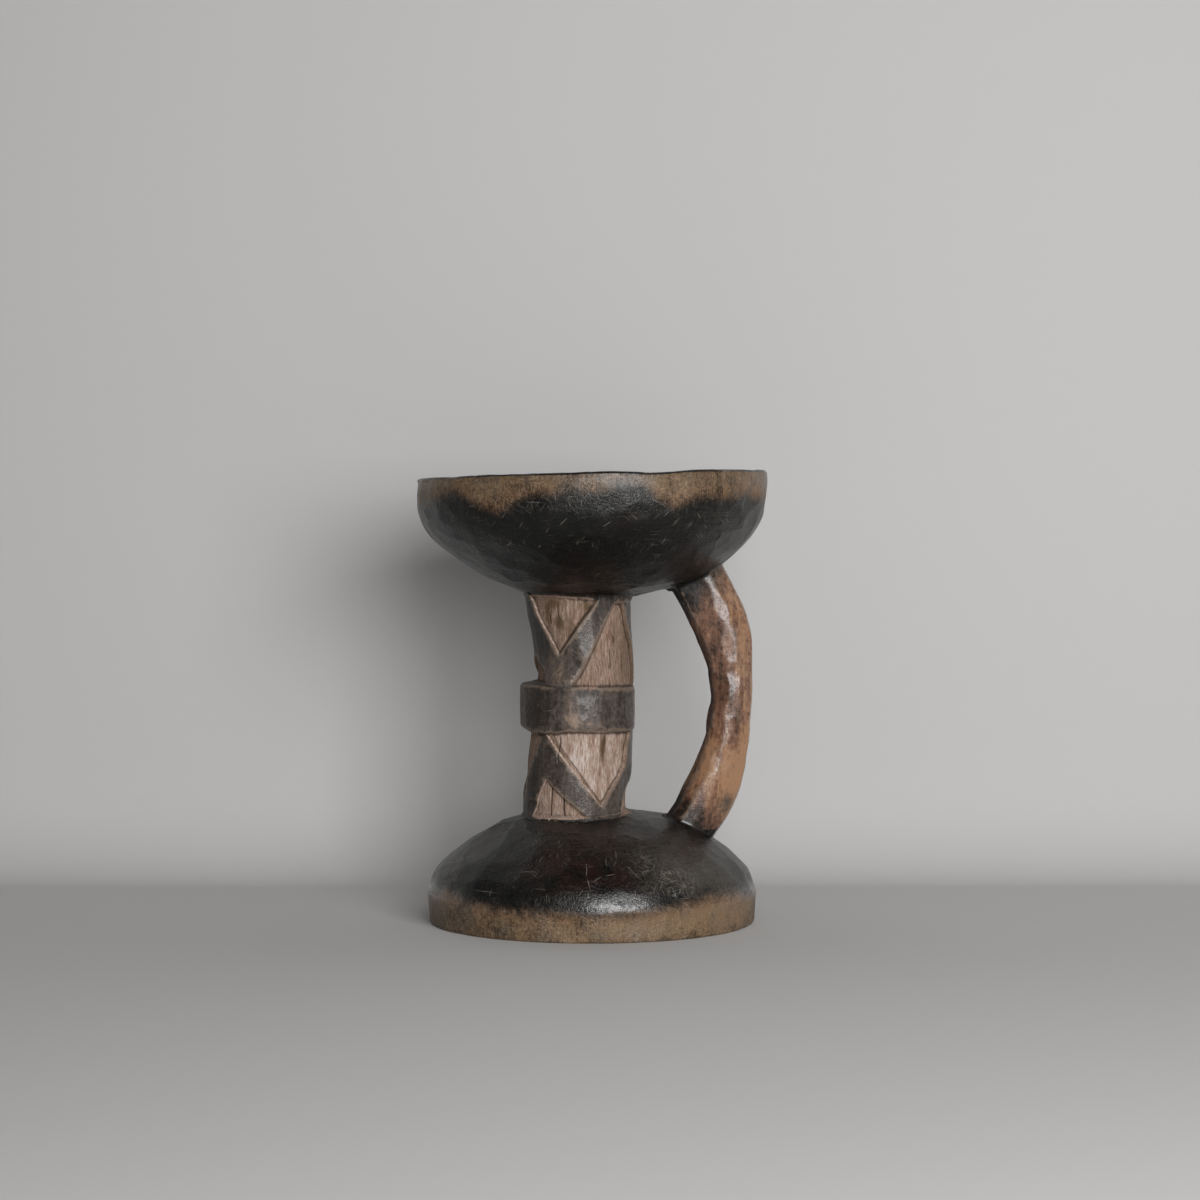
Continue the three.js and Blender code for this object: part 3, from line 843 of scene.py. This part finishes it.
def paintMasks(piece):
    points, normals = readPoints(piece), readNormals(piece)
    where = regions(points, normals)
    x, y, z = points.T
    angle = frontAngle(points)
    r = np.hypot(x, y)
    best, first, _, soilAndShade, turn, out = sunkPlace(points)
    sunk = np.where(where["column"], best, -9)
    # a chipped line of bare wood on the foot and one under the bowl, against the column's front
    chips = bell(out, 1.7, 0.55) * (0.42 + 0.8 * waves(turn / 2.6, 0 * z, 41))
    chips *= (where["dome"] * fade(turn, -50, -40) * (1 - fade(turn, 10, 22))
              + 0.9 * where["bowl"] * bell(turn, -8, 26))
    sunk = np.maximum(sunk, np.where(chips > 0.3, chips * 3 - 1.9, -9))
    writeAttribute(piece, "sunk", sunk)
    writeAttribute(piece, "firstSide", np.where(where["column"], np.clip(first, -9, 9), 9))
    # dirt and painted shade on the floors, and darker along the cracks
    writeAttribute(piece, "soilAndShade", soilAndShade + 0.8 * fade(crackDepth(turn, z), 0.15, 0.6) * where["column"])

    # millimetres into the rubbed brown wood, below zero in the soot, which covers the lip too
    limit = patina["limit"]
    wornAndShaded = np.full(len(points), -1.0 * limit)
    rimSide = where["bowl"] | where["lip"]
    wornAndShaded[rimSide] = (z - np.interp(angle, *zip(*patina["rim"])))[rimSide]
    rim = seat["height"] + seatLean(points)
    wornAndShaded = np.clip(wornAndShaded, -limit, limit)
    wornAndShaded[rimSide] -= (22 * fade(z - rim, -2.2, -1.1))[rimSide]
    edgeSide = where["edge"] | where["dome"]
    wornAndShaded[edgeSide] = (np.interp(angle, *zip(*patina["edge"])) - z)[edgeSide]
    # a painted contact shadow, with some dirt: a thin dark line along the bottom of the foot's edge
    wornAndShaded -= 16 * where["edge"] * (1 - fade(z - 0.8 * waves(angle / 2, 0 * z, 43), 0.5, 1.7))
    wornAndShaded[where["under"]] = 6
    wornAndShaded[where["dish"]] = -limit
    nearest, across, front = handlePlace(points)
    alongHandle = nearest[:, 1]
    grip = np.minimum((across - patina["handleInside"]) * 18, 9)
    grip = np.minimum(grip, (patina["handleTop"] - alongHandle) * 0.5 + 3 * across)
    grip = np.minimum(grip, (alongHandle - patina["handleFoot"]) * 0.5)
    grip -= 12 * bell(alongHandle, 85, 8) * bell(across, 0.7, 0.35)
    wornAndShaded[where["handle"]] = grip[where["handle"]]
    writeAttribute(piece, "wornAndShaded", np.clip(wornAndShaded, -limit, limit))

    edgeOfGrip = (handle["skin"] - np.hypot(across, front)) * 16
    writeAttribute(piece, "grip", np.where(where["handle"], np.clip(edgeOfGrip, 0, 3), 0))
    strap = where["column"] | where["band"] | where["ledge"]
    writeAttribute(piece, "strap", strap * 1.0)

    # hands and seats polish what they touch, and dirt dulls the knots
    outward = fade(across, -0.95, -0.7)
    shoulder = bell(z, foot["edgeHeight"] + 4, 5.5) * (where["dome"] | where["edge"])
    top = fade(z, seat["height"] - 15, seat["height"] - 7) * (where["bowl"] | where["lip"])
    gloss = 0.75 * where["handle"] * outward + 1.05 * shoulder + 0.4 * top + 0.5 * where["dish"]
    gloss += 0.36 * (where["band"] | where["column"]) * (best < 0) * fade(turn, -42, -22)
    for at, height, wide, deep in cuts["dents"]:
        aside = (angle - at) * math.radians(cuts["dentsRadius"])
        gloss *= 1 - bell(np.hypot(aside, z - height), 0, 2 * wide)
    writeAttribute(piece, "gloss", gloss)
    writeAttribute(piece, "sat", where["dish"] * fade(seat["radius"] - seat["lipWidth"] - r, -1, 6))
    for mask in ("barerAndSheen", "redder", "scuffed"):
        values = np.zeros(len(points))
        for place, rows in patina[mask].items():
            here = where[place] | (where["ledge"] if place == "band" else False)
            here = here | (where["lip"] if place == "bowl" else False)
            values += here * patchwork(rows, turn if place in ("column", "band") else angle, z)
        if mask == "barerAndSheen":            # the outer side of the handle is the most handled
            # painted sheen: the lower handle, round 102 mm up its middle line, is painted lighter
            outerAndSheen = 0.95 * fade(across, 0.2, 0.8) + 1.55 * bell(alongHandle, 102, 24)
            outerAndSheen -= 0.3 * bell(across, -0.5, 0.4)
            outerAndSheen -= 2.2 * (1 - fade(alongHandle, 66, 84))
            values += where["handle"] * outerAndSheen
        writeAttribute(piece, mask, values)


def unrolledHeight(z, r):
    # grows with the distance along the profile of the bowl and of the foot
    return z + patina["upShare"] * np.where(z > patina["parting"], 1, -1) * r


def unroll(piece):
    # millimetres around and up the surface. Each face keeps its own corners' values, so that the
    # line at the back where they start again stays sharp.
    points, normals = readPoints(piece), readNormals(piece)
    where = regions(points, normals)
    shaft = where["column"] | where["band"] | where["ledge"]
    across, front = handlePlace(points)[1:]
    angle = np.where(shaft, columnPlace(points)[0], frontAngle(points))
    angle = np.where(where["handle"], np.degrees(np.arctan2(across, front)), angle)
    drums = [patina["handleRadius"], column["halfDepth"]]
    perDegree = math.radians(1) * np.select([where["handle"], shaft], drums, patina["aroundRadius"])
    up = np.where(shaft | where["handle"], points[:, 2],
                  unrolledHeight(points[:, 2], np.hypot(points[:, 0], points[:, 1])))
    mesh = piece.data
    corners = np.empty(len(mesh.loops), dtype=np.int32)
    mesh.loops.foreach_get("vertex_index", corners)
    sizes = np.empty(len(mesh.polygons), dtype=np.int32)
    mesh.polygons.foreach_get("loop_total", sizes)
    starts = np.concatenate([[0], np.cumsum(sizes)[:-1]])
    first = np.repeat(angle[corners[starts]], sizes)
    around = first + (angle[corners] - first + 180) % 360 - 180
    flat = np.stack([around * perDegree[corners], up[corners], np.zeros(len(corners))], axis=1)
    layer = mesh.attributes.new("unrolled", "FLOAT_VECTOR", "CORNER")
    layer.data.foreach_set("vector", flat.astype(np.float32).ravel())


def fromHex(code):
    # an sRGB hex colour as Blender's linear RGBA
    parts = [int(code[i:i + 2], 16) / 255 for i in (1, 3, 5)]
    return [p / 12.92 if p < 0.04045 else ((p + 0.055) / 1.055) ** 2.4 for p in parts] + [1]


def addNode(tree, kind, links, out=0, **settings):
    # adds a node with its settings and links, and gives back one of its outputs
    node = tree.nodes.new(kind)
    for name, value in settings.items():
        setattr(node, name, value)
    for socket, value in links.items():
        if isinstance(value, bpy.types.NodeSocket):
            tree.links.new(value, node.inputs[socket])
        else:
            node.inputs[socket].default_value = value
    return node.outputs[out] if node.outputs else node


# Hardwood hewn with an adze, smoked and handled: the skin is nearly black with a satin gleam and
# pale scratches, rubbed back to brown wood along the rim, the foot's edge and the handle, and cut
# through to pale dry wood in the sunk triangles.
finish = {
    "soot": "#080807",
    "sootGrey": "#121110",
    "sootDusty": "#4a443c",
    "sootRed": "#351a14",
    "scratch": "#989184",
    "strapDark": "#2b2520",
    "strapLight": "#5c5049",
    "strapBare": "#8d7969",
    "brownDark": "#392a1e",
    "brownLight": "#82694e",
    "brownWarm": "#7d563a",
    "brownGrey": "#5f574c",
    "brownPale": "#b09f88",
    "gripDark": "#30231b",
    "gripBrown": "#765340",
    "gripLight": "#a67e5e",
    "cutDark": "#775e4d",
    "cutMiddle": "#a98f7f",
    "cutPale": "#d3c4bb",
    "cutSoilAndShade": "#57442f",
    "satBrown": "#4d382b",
    "fibre": 1.1,              # millimetres across, drawn about twice as coarse as the real grain
    "fibreLength": 6.5,
    "streak": 5,
    "streakLength": 42,
    "mottle": 3.0,
    "speck": 0.85,
    "blotch": 19,
    "brush": 1.3,
    "brushLength": 17,
    "crackle": 1.7,
    "elsewhere": (310, 170, 90),       # where a second blotch pattern is taken from
    "wander": 7,               # scratches bend over this length
    "wanderAside": 1.3,
    # hair scratches: turn in degrees, spacing across and along, and if they are the scuffed
    # patches' own. Their width and length are shares of the spacing.
    "hairs": [(8, 2.3, 42, False), (62, 2.9, 36, False), (-48, 3.1, 34, False), (90, 2.6, 36, False),
              (14, 1.25, 17, True), (66, 1.3, 15, True), (-38, 1.35, 16, True), (101, 1.2, 14, True)],
    "hairWidth": 0.1,
    "scuffWidth": 0.3,
    "roughSkin": 0.32,
    "roughBrown": 0.46,
    "roughGrip": 0.3,
    "roughStrap": 0.5,
    "roughCut": 0.85,
}


def addUp(tree, start, terms):
    # the start and each value times its weight
    for value, weight in terms:
        start = addNode(tree, "ShaderNodeMath", {0: value, 1: weight, 2: start}, operation="MULTIPLY_ADD")
    return start


def layers(tree, colour, rows):
    # colours laid over one another, each by its share
    for share, over in rows:
        over = fromHex(finish[over]) if isinstance(over, str) else over
        colour = addNode(tree, "ShaderNodeMix", {0: share, 6: colour, 7: over}, out=2, data_type="RGBA")
    return colour


def toneRamp(tree, tone, first, steps):
    # colours that follow one another as the tone grows: from, to and the colour reached
    rows = [(addNode(tree, "ShaderNodeMapRange", {0: tone, 1: low, 2: high},
                     interpolation_type="SMOOTHSTEP"), reached) for low, high, reached in steps]
    return layers(tree, fromHex(finish[first]), rows)


def smokedHardwood():
    material = bpy.data.materials.new("smokedHardwoodAdzeHewn")
    material.use_nodes = True
    tree = material.node_tree
    tree.nodes.clear()

    coords = addNode(tree, "ShaderNodeTexCoord", {}, out="Object")
    place = addNode(tree, "ShaderNodeVectorMath", {0: coords, "Scale": 1 / mm}, operation="SCALE")
    upright, drawnOut = (
        addNode(tree, "ShaderNodeVectorMath", {0: place, 1: (1, 1, finish[wide] / finish[long])},
                operation="MULTIPLY")
        for wide, long in (("fibre", "fibreLength"), ("streak", "streakLength")))
    elsewhere = addNode(tree, "ShaderNodeVectorMath", {0: place, 1: finish["elsewhere"]}, operation="ADD")
    unrolled = addNode(tree, "ShaderNodeAttribute", {}, out="Vector", attribute_name="unrolled")
    # level streaks that the scraper left round the bowl and the foot
    squeezed = (finish["brush"] / finish["brushLength"], 1, 1)
    level = addNode(tree, "ShaderNodeVectorMath", {0: unrolled, 1: squeezed}, operation="MULTIPLY")
    fibre, streak, mottle, blotch, thinning, fine, brushed = (
        addNode(tree, "ShaderNodeTexNoise",
                {"Vector": at, "Scale": 1 / finish[wide], "Detail": detail, "Roughness": rough,
                 "Distortion": bend})
        for at, wide, detail, rough, bend in (
            (upright, "fibre", 4, 0.65, 0), (drawnOut, "streak", 4, 0.65, 0),
            (place, "mottle", 5, 0.7, 0), (place, "blotch", 5, 0.62, 0.5),
            (elsewhere, "blotch", 3, 0.5, 0), (place, "speck", 2, 0.65, 0), (level, "brush", 3, 0.6, 0)))
    sunk, firstSide, soilAndShade, wornAndShaded, grip, strap, wearAndCreaseShade, barerAndSheen, redder, scuffed, sat, gloss = (
        addNode(tree, "ShaderNodeAttribute", {}, out="Fac", attribute_name=name)
        for name in ("sunk", "firstSide", "soilAndShade", "wornAndShaded", "grip", "strap", "wearAndCreaseShade", "barerAndSheen", "redder",
                     "scuffed", "sat", "gloss"))
    # the grain of the worn skin, like fine leather
    crackle = addNode(tree, "ShaderNodeTexVoronoi",
                      {"Vector": place, "Scale": 1 / finish["crackle"], "Detail": 1}, out="Distance")

    # hair scratches lie scattered in a few directions, each one a long thin spot that wanders a
    # little, with shorter ones close together on the scuffed patches
    wander = addNode(tree, "ShaderNodeTexNoise",
                     {"Vector": unrolled, "Scale": 1 / finish["wander"], "Detail": 3}, out="Color")
    wander = addNode(tree, "ShaderNodeVectorMath", {0: wander, 1: (0.5, 0.5, 0.5)}, operation="SUBTRACT")
    aside = (finish["wanderAside"], finish["wanderAside"], 0)
    bent = addNode(tree, "ShaderNodeVectorMath", {0: wander, 1: aside, 2: unrolled},
                   operation="MULTIPLY_ADD")
    seldom = addNode(tree, "ShaderNodeMapRange", {0: thinning, 1: 0.4, 2: 0.58, 3: 0.15, 4: 0.85})
    patchy = addNode(tree, "ShaderNodeMath", {0: mottle, 1: 3.0, 2: -0.9}, operation="MULTIPLY_ADD")
    patchy = addNode(tree, "ShaderNodeMath", {0: patchy, 1: scuffed},
                     operation="MULTIPLY", use_clamp=True)
    scratched, upLine = 0.0, None
    for turn, across, along, chosen in finish["hairs"]:
        spot = addNode(tree, "ShaderNodeMapping",
                       {"Vector": bent, "Rotation": (0, 0, math.radians(turn)),
                        "Scale": (along, across, 1)}, vector_type="TEXTURE")
        far = addNode(tree, "ShaderNodeTexVoronoi", {"Vector": spot, "Scale": 1}, out="Distance",
                      voronoi_dimensions="2D")
        wide = finish["scuffWidth"] if chosen else finish["hairWidth"]
        line = addNode(tree, "ShaderNodeMapRange", {0: far, 1: 0.02, 2: wide, 3: 1, 4: 0})
        some = addNode(tree, "ShaderNodeSeparateXYZ", {0: far.node.outputs["Color"]})
        some = addNode(tree, "ShaderNodeMapRange", {0: some, 1: 0.3 if chosen else 0.5, 2: 0.95})
        line = addNode(tree, "ShaderNodeMath", {0: line, 1: some}, operation="MULTIPLY")
        upLine = line if turn == 90 else upLine
        amount = patchy if chosen else seldom
        line = addNode(tree, "ShaderNodeMath", {0: line, 1: amount}, operation="MULTIPLY")
        scratched = addNode(tree, "ShaderNodeMath", {0: line, 1: scratched}, operation="MAXIMUM")

    # the single scratches
    outlines = {
        "bowl": [(seat["height"] - d * seat["bowlDepth"], r * seat["radius"])
                 for r, d in seat["outline"]],
        "dome": [(h * foot["height"], r * foot["radius"]) for r, h in foot["outline"]],
    }
    for region, angle, height, length, turn, width in patina["scratches"]:
        radius = np.interp(height, *zip(*sorted(outlines[region])))
        around = math.radians(angle) * patina["aroundRadius"]
        spot = addNode(tree, "ShaderNodeMapping",
                       {"Vector": bent, "Location": (around, float(unrolledHeight(height, radius)), 0),
                        "Rotation": (0, 0, math.radians(turn)), "Scale": (length / 2, width / 2, 1)},
                       vector_type="TEXTURE")
        far = addNode(tree, "ShaderNodeVectorMath", {0: spot}, out="Value", operation="LENGTH")
        line = addNode(tree, "ShaderNodeMapRange", {0: far, 1: 0.3, 2: 1.1, 3: 1, 4: 0})
        scratched = addNode(tree, "ShaderNodeMath", {0: line, 1: scratched}, operation="MAXIMUM")
    broken = addNode(tree, "ShaderNodeMapRange", {0: fine, 1: 0.34, 2: 0.52, 3: 0.15, 4: 0.85})
    scratched = addNode(tree, "ShaderNodeMath", {0: scratched, 1: broken}, operation="MULTIPLY")

    # nearly black skin, greyer in patches, dusty where it is rubbed, with a red cast here and there,
    # and polished a warmer brown in the dished seat by sitting
    skin = toneRamp(tree, blotch, "soot", [(0.4, 0.66, "sootGrey")])
    dusty = addUp(tree, -0.8, [(mottle, 1.6), (brushed, 1.4), (barerAndSheen, 0.9)])
    dusty = addNode(tree, "ShaderNodeMapRange", {0: dusty, 1: 0.84, 2: 1.8, 4: 0.85})
    red = addNode(tree, "ShaderNodeMath", {0: thinning, 1: 3.0, 2: -1.1},
                  operation="MULTIPLY_ADD", use_clamp=True)
    red = addNode(tree, "ShaderNodeMath", {0: red, 1: redder}, operation="MULTIPLY", use_clamp=True)
    satTone = addNode(tree, "ShaderNodeMapRange", {0: blotch, 1: 0.3, 2: 0.62, 3: 0.2, 4: 0.9})
    satTone = addNode(tree, "ShaderNodeMath", {0: satTone, 1: sat}, operation="MULTIPLY")

    # the straps and the band have lost most of the soot
    strapTone = addNode(tree, "ShaderNodeMix", {0: 0.5, 2: streak, 3: mottle})
    strapTone = addNode(tree, "ShaderNodeMath", {0: barerAndSheen, 1: 0.22, 2: strapTone},
                        operation="MULTIPLY_ADD")
    straps = toneRamp(tree, strapTone, "strapDark",
                      [(0.36, 0.66, "strapLight"), (0.64, 0.84, "strapBare")])
    skin = layers(tree, skin, [(dusty, "sootDusty"), (red, "sootRed"), (satTone, "satBrown"),
                               (strap, straps)])

    # brown wood under the soot, with upright fibres, warmest beside the soot, with grey patches
    # and pale grains from the wear
    brownTone = addNode(tree, "ShaderNodeMix", {0: 0.5, 2: fibre, 3: mottle})
    brownTone = addUp(tree, brownTone, [(crackle, -0.22), (fine, 0.2), (blotch, 0.75), (barerAndSheen, 0.2)])
    lighter = addNode(tree, "ShaderNodeMapRange", {0: brownTone, 1: 0.55, 2: 1.05},
                      interpolation_type="SMOOTHSTEP")
    warm = addNode(tree, "ShaderNodeMapRange", {0: wornAndShaded, 1: 1.0, 2: 8.0, 3: 0.5, 4: 0.0})
    warm = addNode(tree, "ShaderNodeMath", {0: warm, 1: lighter}, operation="MULTIPLY")
    greyed = addNode(tree, "ShaderNodeMapRange", {0: thinning, 1: 0.48, 2: 0.68, 3: 0, 4: 0.5})
    pale = addNode(tree, "ShaderNodeMapRange", {0: fine, 1: 0.55, 2: 0.68, 3: 0, 4: 1})
    paler = addNode(tree, "ShaderNodeMapRange", {0: mottle, 1: 0.4, 2: 0.6, 3: 0.1, 4: 0.7})
    pale = addNode(tree, "ShaderNodeMath", {0: pale, 1: paler}, operation="MULTIPLY")

    # yellower and glossier on the handle, from many hands
    gripTone = addNode(tree, "ShaderNodeMix", {0: 0.25, 2: streak, 3: fibre})
    gripTone = addUp(tree, gripTone, [(blotch, 0.4), (barerAndSheen, 0.12), (mottle, 0.5)])
    gripWood = toneRamp(tree, gripTone, "gripDark",
                        [(0.72, 0.98, "gripBrown"), (0.94, 1.16, "gripLight")])
    onGrip = addNode(tree, "ShaderNodeMapRange", {0: grip, 1: 0.2, 2: 1.2},
                     interpolation_type="SMOOTHSTEP")
    brown = layers(tree, fromHex(finish["brownDark"]),
                   [(lighter, "brownLight"), (warm, "brownWarm"), (greyed, "brownGrey"),
                    (pale, "brownPale"), (onGrip, gripWood)])

    # the speckled limit between soot and brown wood
    ragged = addUp(tree, wornAndShaded, [(mottle, 6.0), (blotch, 9.0), (fine, 6.0), (fibre, 4.0)])
    isBrown = addNode(tree, "ShaderNodeMapRange", {0: ragged, 1: 7.0, 2: 18.8},
                      interpolation_type="SMOOTHSTEP")

    # raised edges are rubbed to wood
    raised = addNode(tree, "ShaderNodeMath", {0: mottle, 1: 0.4, 2: wearAndCreaseShade}, operation="MULTIPLY_ADD")
    edgeWear = addNode(tree, "ShaderNodeMapRange", {0: raised, 1: 0.26, 2: 0.5, 4: 0.55},
                       interpolation_type="SMOOTHSTEP")

    # pale dry wood in the sunk triangles, soiled and painted with shade in places, with a pale line down
    # one side painted as a highlight on its lit wall
    cutTone = addNode(tree, "ShaderNodeMix", {0: 0.36, 2: fibre, 3: streak})
    cutTone = addUp(tree, cutTone, [(mottle, 0.15), (fine, 0.16), (soilAndShade, -0.07)])
    cut = toneRamp(tree, cutTone, "cutDark", [(0.49, 0.67, "cutMiddle"), (0.64, 0.84, "cutPale")])
    soiledAndShaded = addUp(tree, -1.2, [(streak, 2.4), (mottle, 1.6), (soilAndShade, 1.0)])
    soiledAndShaded = addNode(tree, "ShaderNodeMapRange", {0: soiledAndShaded, 1: 0.85, 2: 2.0, 4: 0.9})
    dashes = addNode(tree, "ShaderNodeMapRange", {0: fine, 1: 0.36, 2: 0.6, 3: 0.0, 4: 0.7})
    dashes = addNode(tree, "ShaderNodeMath", {0: dashes, 1: upLine}, operation="MULTIPLY")
    arrisHighlight = addNode(tree, "ShaderNodeMath", {0: fine, 1: 1.2, 2: firstSide}, operation="MULTIPLY_ADD")
    arrisHighlight = addNode(tree, "ShaderNodeMath", {0: arrisHighlight, 1: 0.9, 2: 0.14}, operation="COMPARE")
    thin = addNode(tree, "ShaderNodeMapRange", {0: mottle, 1: 0.38, 2: 0.56, 3: 0.05, 4: 0.75})
    arrisHighlight = addNode(tree, "ShaderNodeMath", {0: arrisHighlight, 1: thin}, operation="MULTIPLY")
    cut = layers(tree, cut, [(soiledAndShaded, "cutSoilAndShade"), (dashes, "cutSoilAndShade"), (arrisHighlight, "cutPale")])
    sharp = addNode(tree, "ShaderNodeMath", {0: fine, 1: 0.7, 2: sunk}, operation="MULTIPLY_ADD")
    isCut = addNode(tree, "ShaderNodeMapRange", {0: sharp, 1: 0.15, 2: 0.6},
                    interpolation_type="SMOOTHSTEP")

    # painted shade, with some dirt, darkens the creases and hollows; scratches show pale
    hollow = addNode(tree, "ShaderNodeMapRange", {0: wearAndCreaseShade, 1: -0.16, 2: -0.55, 4: 0.7})
    unCut = addNode(tree, "ShaderNodeMapRange", {0: isCut, 3: 0.95, 4: 0.0})
    shown = addNode(tree, "ShaderNodeMath", {0: scratched, 1: unCut}, operation="MULTIPLY")
    surface = layers(tree, skin, [(isBrown, brown), (edgeWear, "strapBare"), (isCut, cut),
                                  (hollow, "soot"), (shown, "scratch")])

    # satin skin, polished grip, dry cut wood
    gripRough = addNode(tree, "ShaderNodeMapRange",
                        {0: gloss, 1: 0.2, 2: 0.7, 3: finish["roughCut"], 4: finish["roughGrip"]})
    rough = finish["roughSkin"]
    for share, other in ((isBrown, finish["roughBrown"]), (strap, finish["roughStrap"]),
                         (onGrip, gripRough), (isCut, finish["roughCut"])):
        rough = addNode(tree, "ShaderNodeMix", {0: share, 2: rough, 3: other})
    rough = addNode(tree, "ShaderNodeMath", {0: mottle, 1: 0.4, 2: rough}, operation="MULTIPLY_ADD")
    rough = addNode(tree, "ShaderNodeMath", {0: rough, 1: 0.2}, operation="SUBTRACT")

    # hands and seats have waxed the handle, the rim and the shoulder of the foot
    waxed = addNode(tree, "ShaderNodeMapRange", {0: mottle, 1: 0.36, 2: 0.58, 3: 0.25, 4: 1})
    waxed = addNode(tree, "ShaderNodeMath", {0: waxed, 1: gloss}, operation="MULTIPLY")

    # relief in millimetres
    fibreDepth = addNode(tree, "ShaderNodeMix", {0: isCut, 2: 0.12, 3: 0.6})
    height = addNode(tree, "ShaderNodeMath", {0: fibre, 1: fibreDepth}, operation="MULTIPLY")
    wrinkled = addNode(tree, "ShaderNodeMapRange", {0: onGrip, 3: -0.2, 4: -0.04})
    height = addUp(tree, height, [(fine, 0.2), (mottle, 0.35), (brushed, 0.12), (crackle, wrinkled)])
    bump = addNode(tree, "ShaderNodeBump", {"Height": height, "Distance": mm, "Strength": 0.9})
    # the wax lies flatter than the wood
    plain = addNode(tree, "ShaderNodeNewGeometry", {}, out="Normal")
    flatter = addNode(tree, "ShaderNodeMix", {0: 0.3, 4: plain, 5: bump}, out=1, data_type="VECTOR")
    shader = addNode(tree, "ShaderNodeBsdfPrincipled",
                     {"Base Color": surface, "Roughness": rough, "Normal": bump, "IOR": 1.5,
                      "Specular IOR Level": 0.38, "Coat Weight": waxed, "Coat Roughness": 0.15,
                      "Coat Normal": flatter})
    addNode(tree, "ShaderNodeOutputMaterial", {"Surface": shader})
    return material


paintMasks(stool)
unroll(stool)
stool.data.materials.clear()
stool.data.materials.append(smokedHardwood())
print("finished: smoked hardwood")
selectOnly(stool)
bpy.ops.object.shade_smooth()

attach(stool, "root")
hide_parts("carved_stool")

studio = {
    "wallBehind": 240,         # from the stool's axis
    "sweep": 70,               # radius of the curve between floor and wall
    "sweepSteps": 8,
    "reach": 4,                # metres of floor to the front and the back
    "wide": 8,
    "wallTall": 3,
    "paint": "#d3d2d1",
    "lampAngle": 16.5,         # to the right of the camera
    "lampHeight": 12,          # degrees up
    "lampAim": 160,
    "lampDistance": 2.1,       # metres
    "lampWidth": 1.15,
    "lampTall": 0.95,
    "lampPower": 34,
    "fill": 0.08,
    "beyond": 0.4,             # how bright it looks where the wall ends
}


def addFloor(name, front, behind):
    bpy.ops.mesh.primitive_plane_add(size=1, location=(0, 0, 0))
    sheet = bpy.context.object
    sheet.name = name
    for vertex in sheet.data.vertices:
        vertex.co.x *= studio["wide"]
        vertex.co.y = behind if vertex.co.y > 0 else front
    return sheet


curve = studio["sweep"] * mm
flatEnd = studio["wallBehind"] * mm - curve
floor = addFloor("floorAndWall", -studio["reach"], flatEnd)
bpy.ops.object.mode_set(mode="EDIT")
bpy.ops.mesh.select_mode(type="EDGE")
bpy.ops.mesh.select_all(action="DESELECT")
bpy.ops.object.mode_set(mode="OBJECT")
for edge in floor.data.edges:
    edge.select = min(floor.data.vertices[v].co.y for v in edge.vertices) > 0
bpy.ops.object.mode_set(mode="EDIT")
for step in range(studio["sweepSteps"]):
    turn = math.radians(90 * (step + 0.5) / studio["sweepSteps"])
    length = 2 * curve * math.sin(math.radians(45 / studio["sweepSteps"]))
    bpy.ops.mesh.extrude_region_move(TRANSFORM_OT_translate={
        "value": (0, length * math.cos(turn), length * math.sin(turn))})
bpy.ops.mesh.extrude_region_move(TRANSFORM_OT_translate={"value": (0, 0, studio["wallTall"])})
bpy.ops.mesh.select_all(action="SELECT")
bpy.ops.mesh.normals_make_consistent(inside=False)
bpy.ops.object.mode_set(mode="OBJECT")
if floor.data.polygons[0].normal.z < 0:
    floor.data.flip_normals()
bpy.ops.object.shade_smooth()
# the wall shows from its front only, so that the stool's back can be seen, and the floor runs on
beyond = addFloor("floorBeyond", flatEnd, studio["reach"])
board = bpy.data.materials.new("paintedBoard")
board.use_nodes = True
tree = board.node_tree
tree.nodes.clear()
paint = addNode(tree, "ShaderNodeBsdfPrincipled",
                {"Base Color": fromHex(studio["paint"]), "Roughness": 0.9})
nothing = addNode(tree, "ShaderNodeBsdfTransparent", {})
fromBehind = addNode(tree, "ShaderNodeNewGeometry", {}, out="Backfacing")
oneSided = addNode(tree, "ShaderNodeMixShader", {0: fromBehind, 1: paint, 2: nothing})
addNode(tree, "ShaderNodeOutputMaterial", {"Surface": oneSided})
floor.data.materials.append(board)
beyond.data.materials.append(board)

camera = {"distance": 1739, "height": 244.5, "aside": 5.4, "aimHeight": 215.6, "lens": 77.58}
eye = Vector((camera["aside"] * mm, -camera["distance"] * mm, camera["height"] * mm))
aim = Vector((camera["aside"] * mm, 0, camera["aimHeight"] * mm))
bpy.ops.object.camera_add(location=eye, rotation=(aim - eye).to_track_quat("-Z", "Y").to_euler())
bpy.context.object.data.lens = camera["lens"]
bpy.context.object.data.sensor_width = 36
bpy.context.scene.camera = bpy.context.object

away = Vector(facing(studio["lampAngle"], studio["lampHeight"]))
target = Vector((0, 0, studio["lampAim"] * mm))
bpy.ops.object.light_add(type="AREA", location=target + away * studio["lampDistance"])
lamp = bpy.context.object
lamp.data.shape = "RECTANGLE"
lamp.data.size, lamp.data.size_y = studio["lampWidth"], studio["lampTall"]
lamp.data.energy = studio["lampPower"]
lamp.rotation_euler = away.to_track_quat("Z", "Y").to_euler()

world = bpy.data.worlds.new("studio")
bpy.context.scene.world = world
world.use_nodes = True
tree = world.node_tree
tree.nodes.clear()
seen = addNode(tree, "ShaderNodeLightPath", {}, out="Is Camera Ray")
strength = addNode(tree, "ShaderNodeMix", {0: seen, 2: studio["fill"], 3: studio["beyond"]})
glow = addNode(tree, "ShaderNodeBackground", {"Color": (1, 1, 1, 1), "Strength": strength})
addNode(tree, "ShaderNodeOutputWorld", {"Surface": glow})
bpy.context.scene.view_settings.view_transform = "Standard"
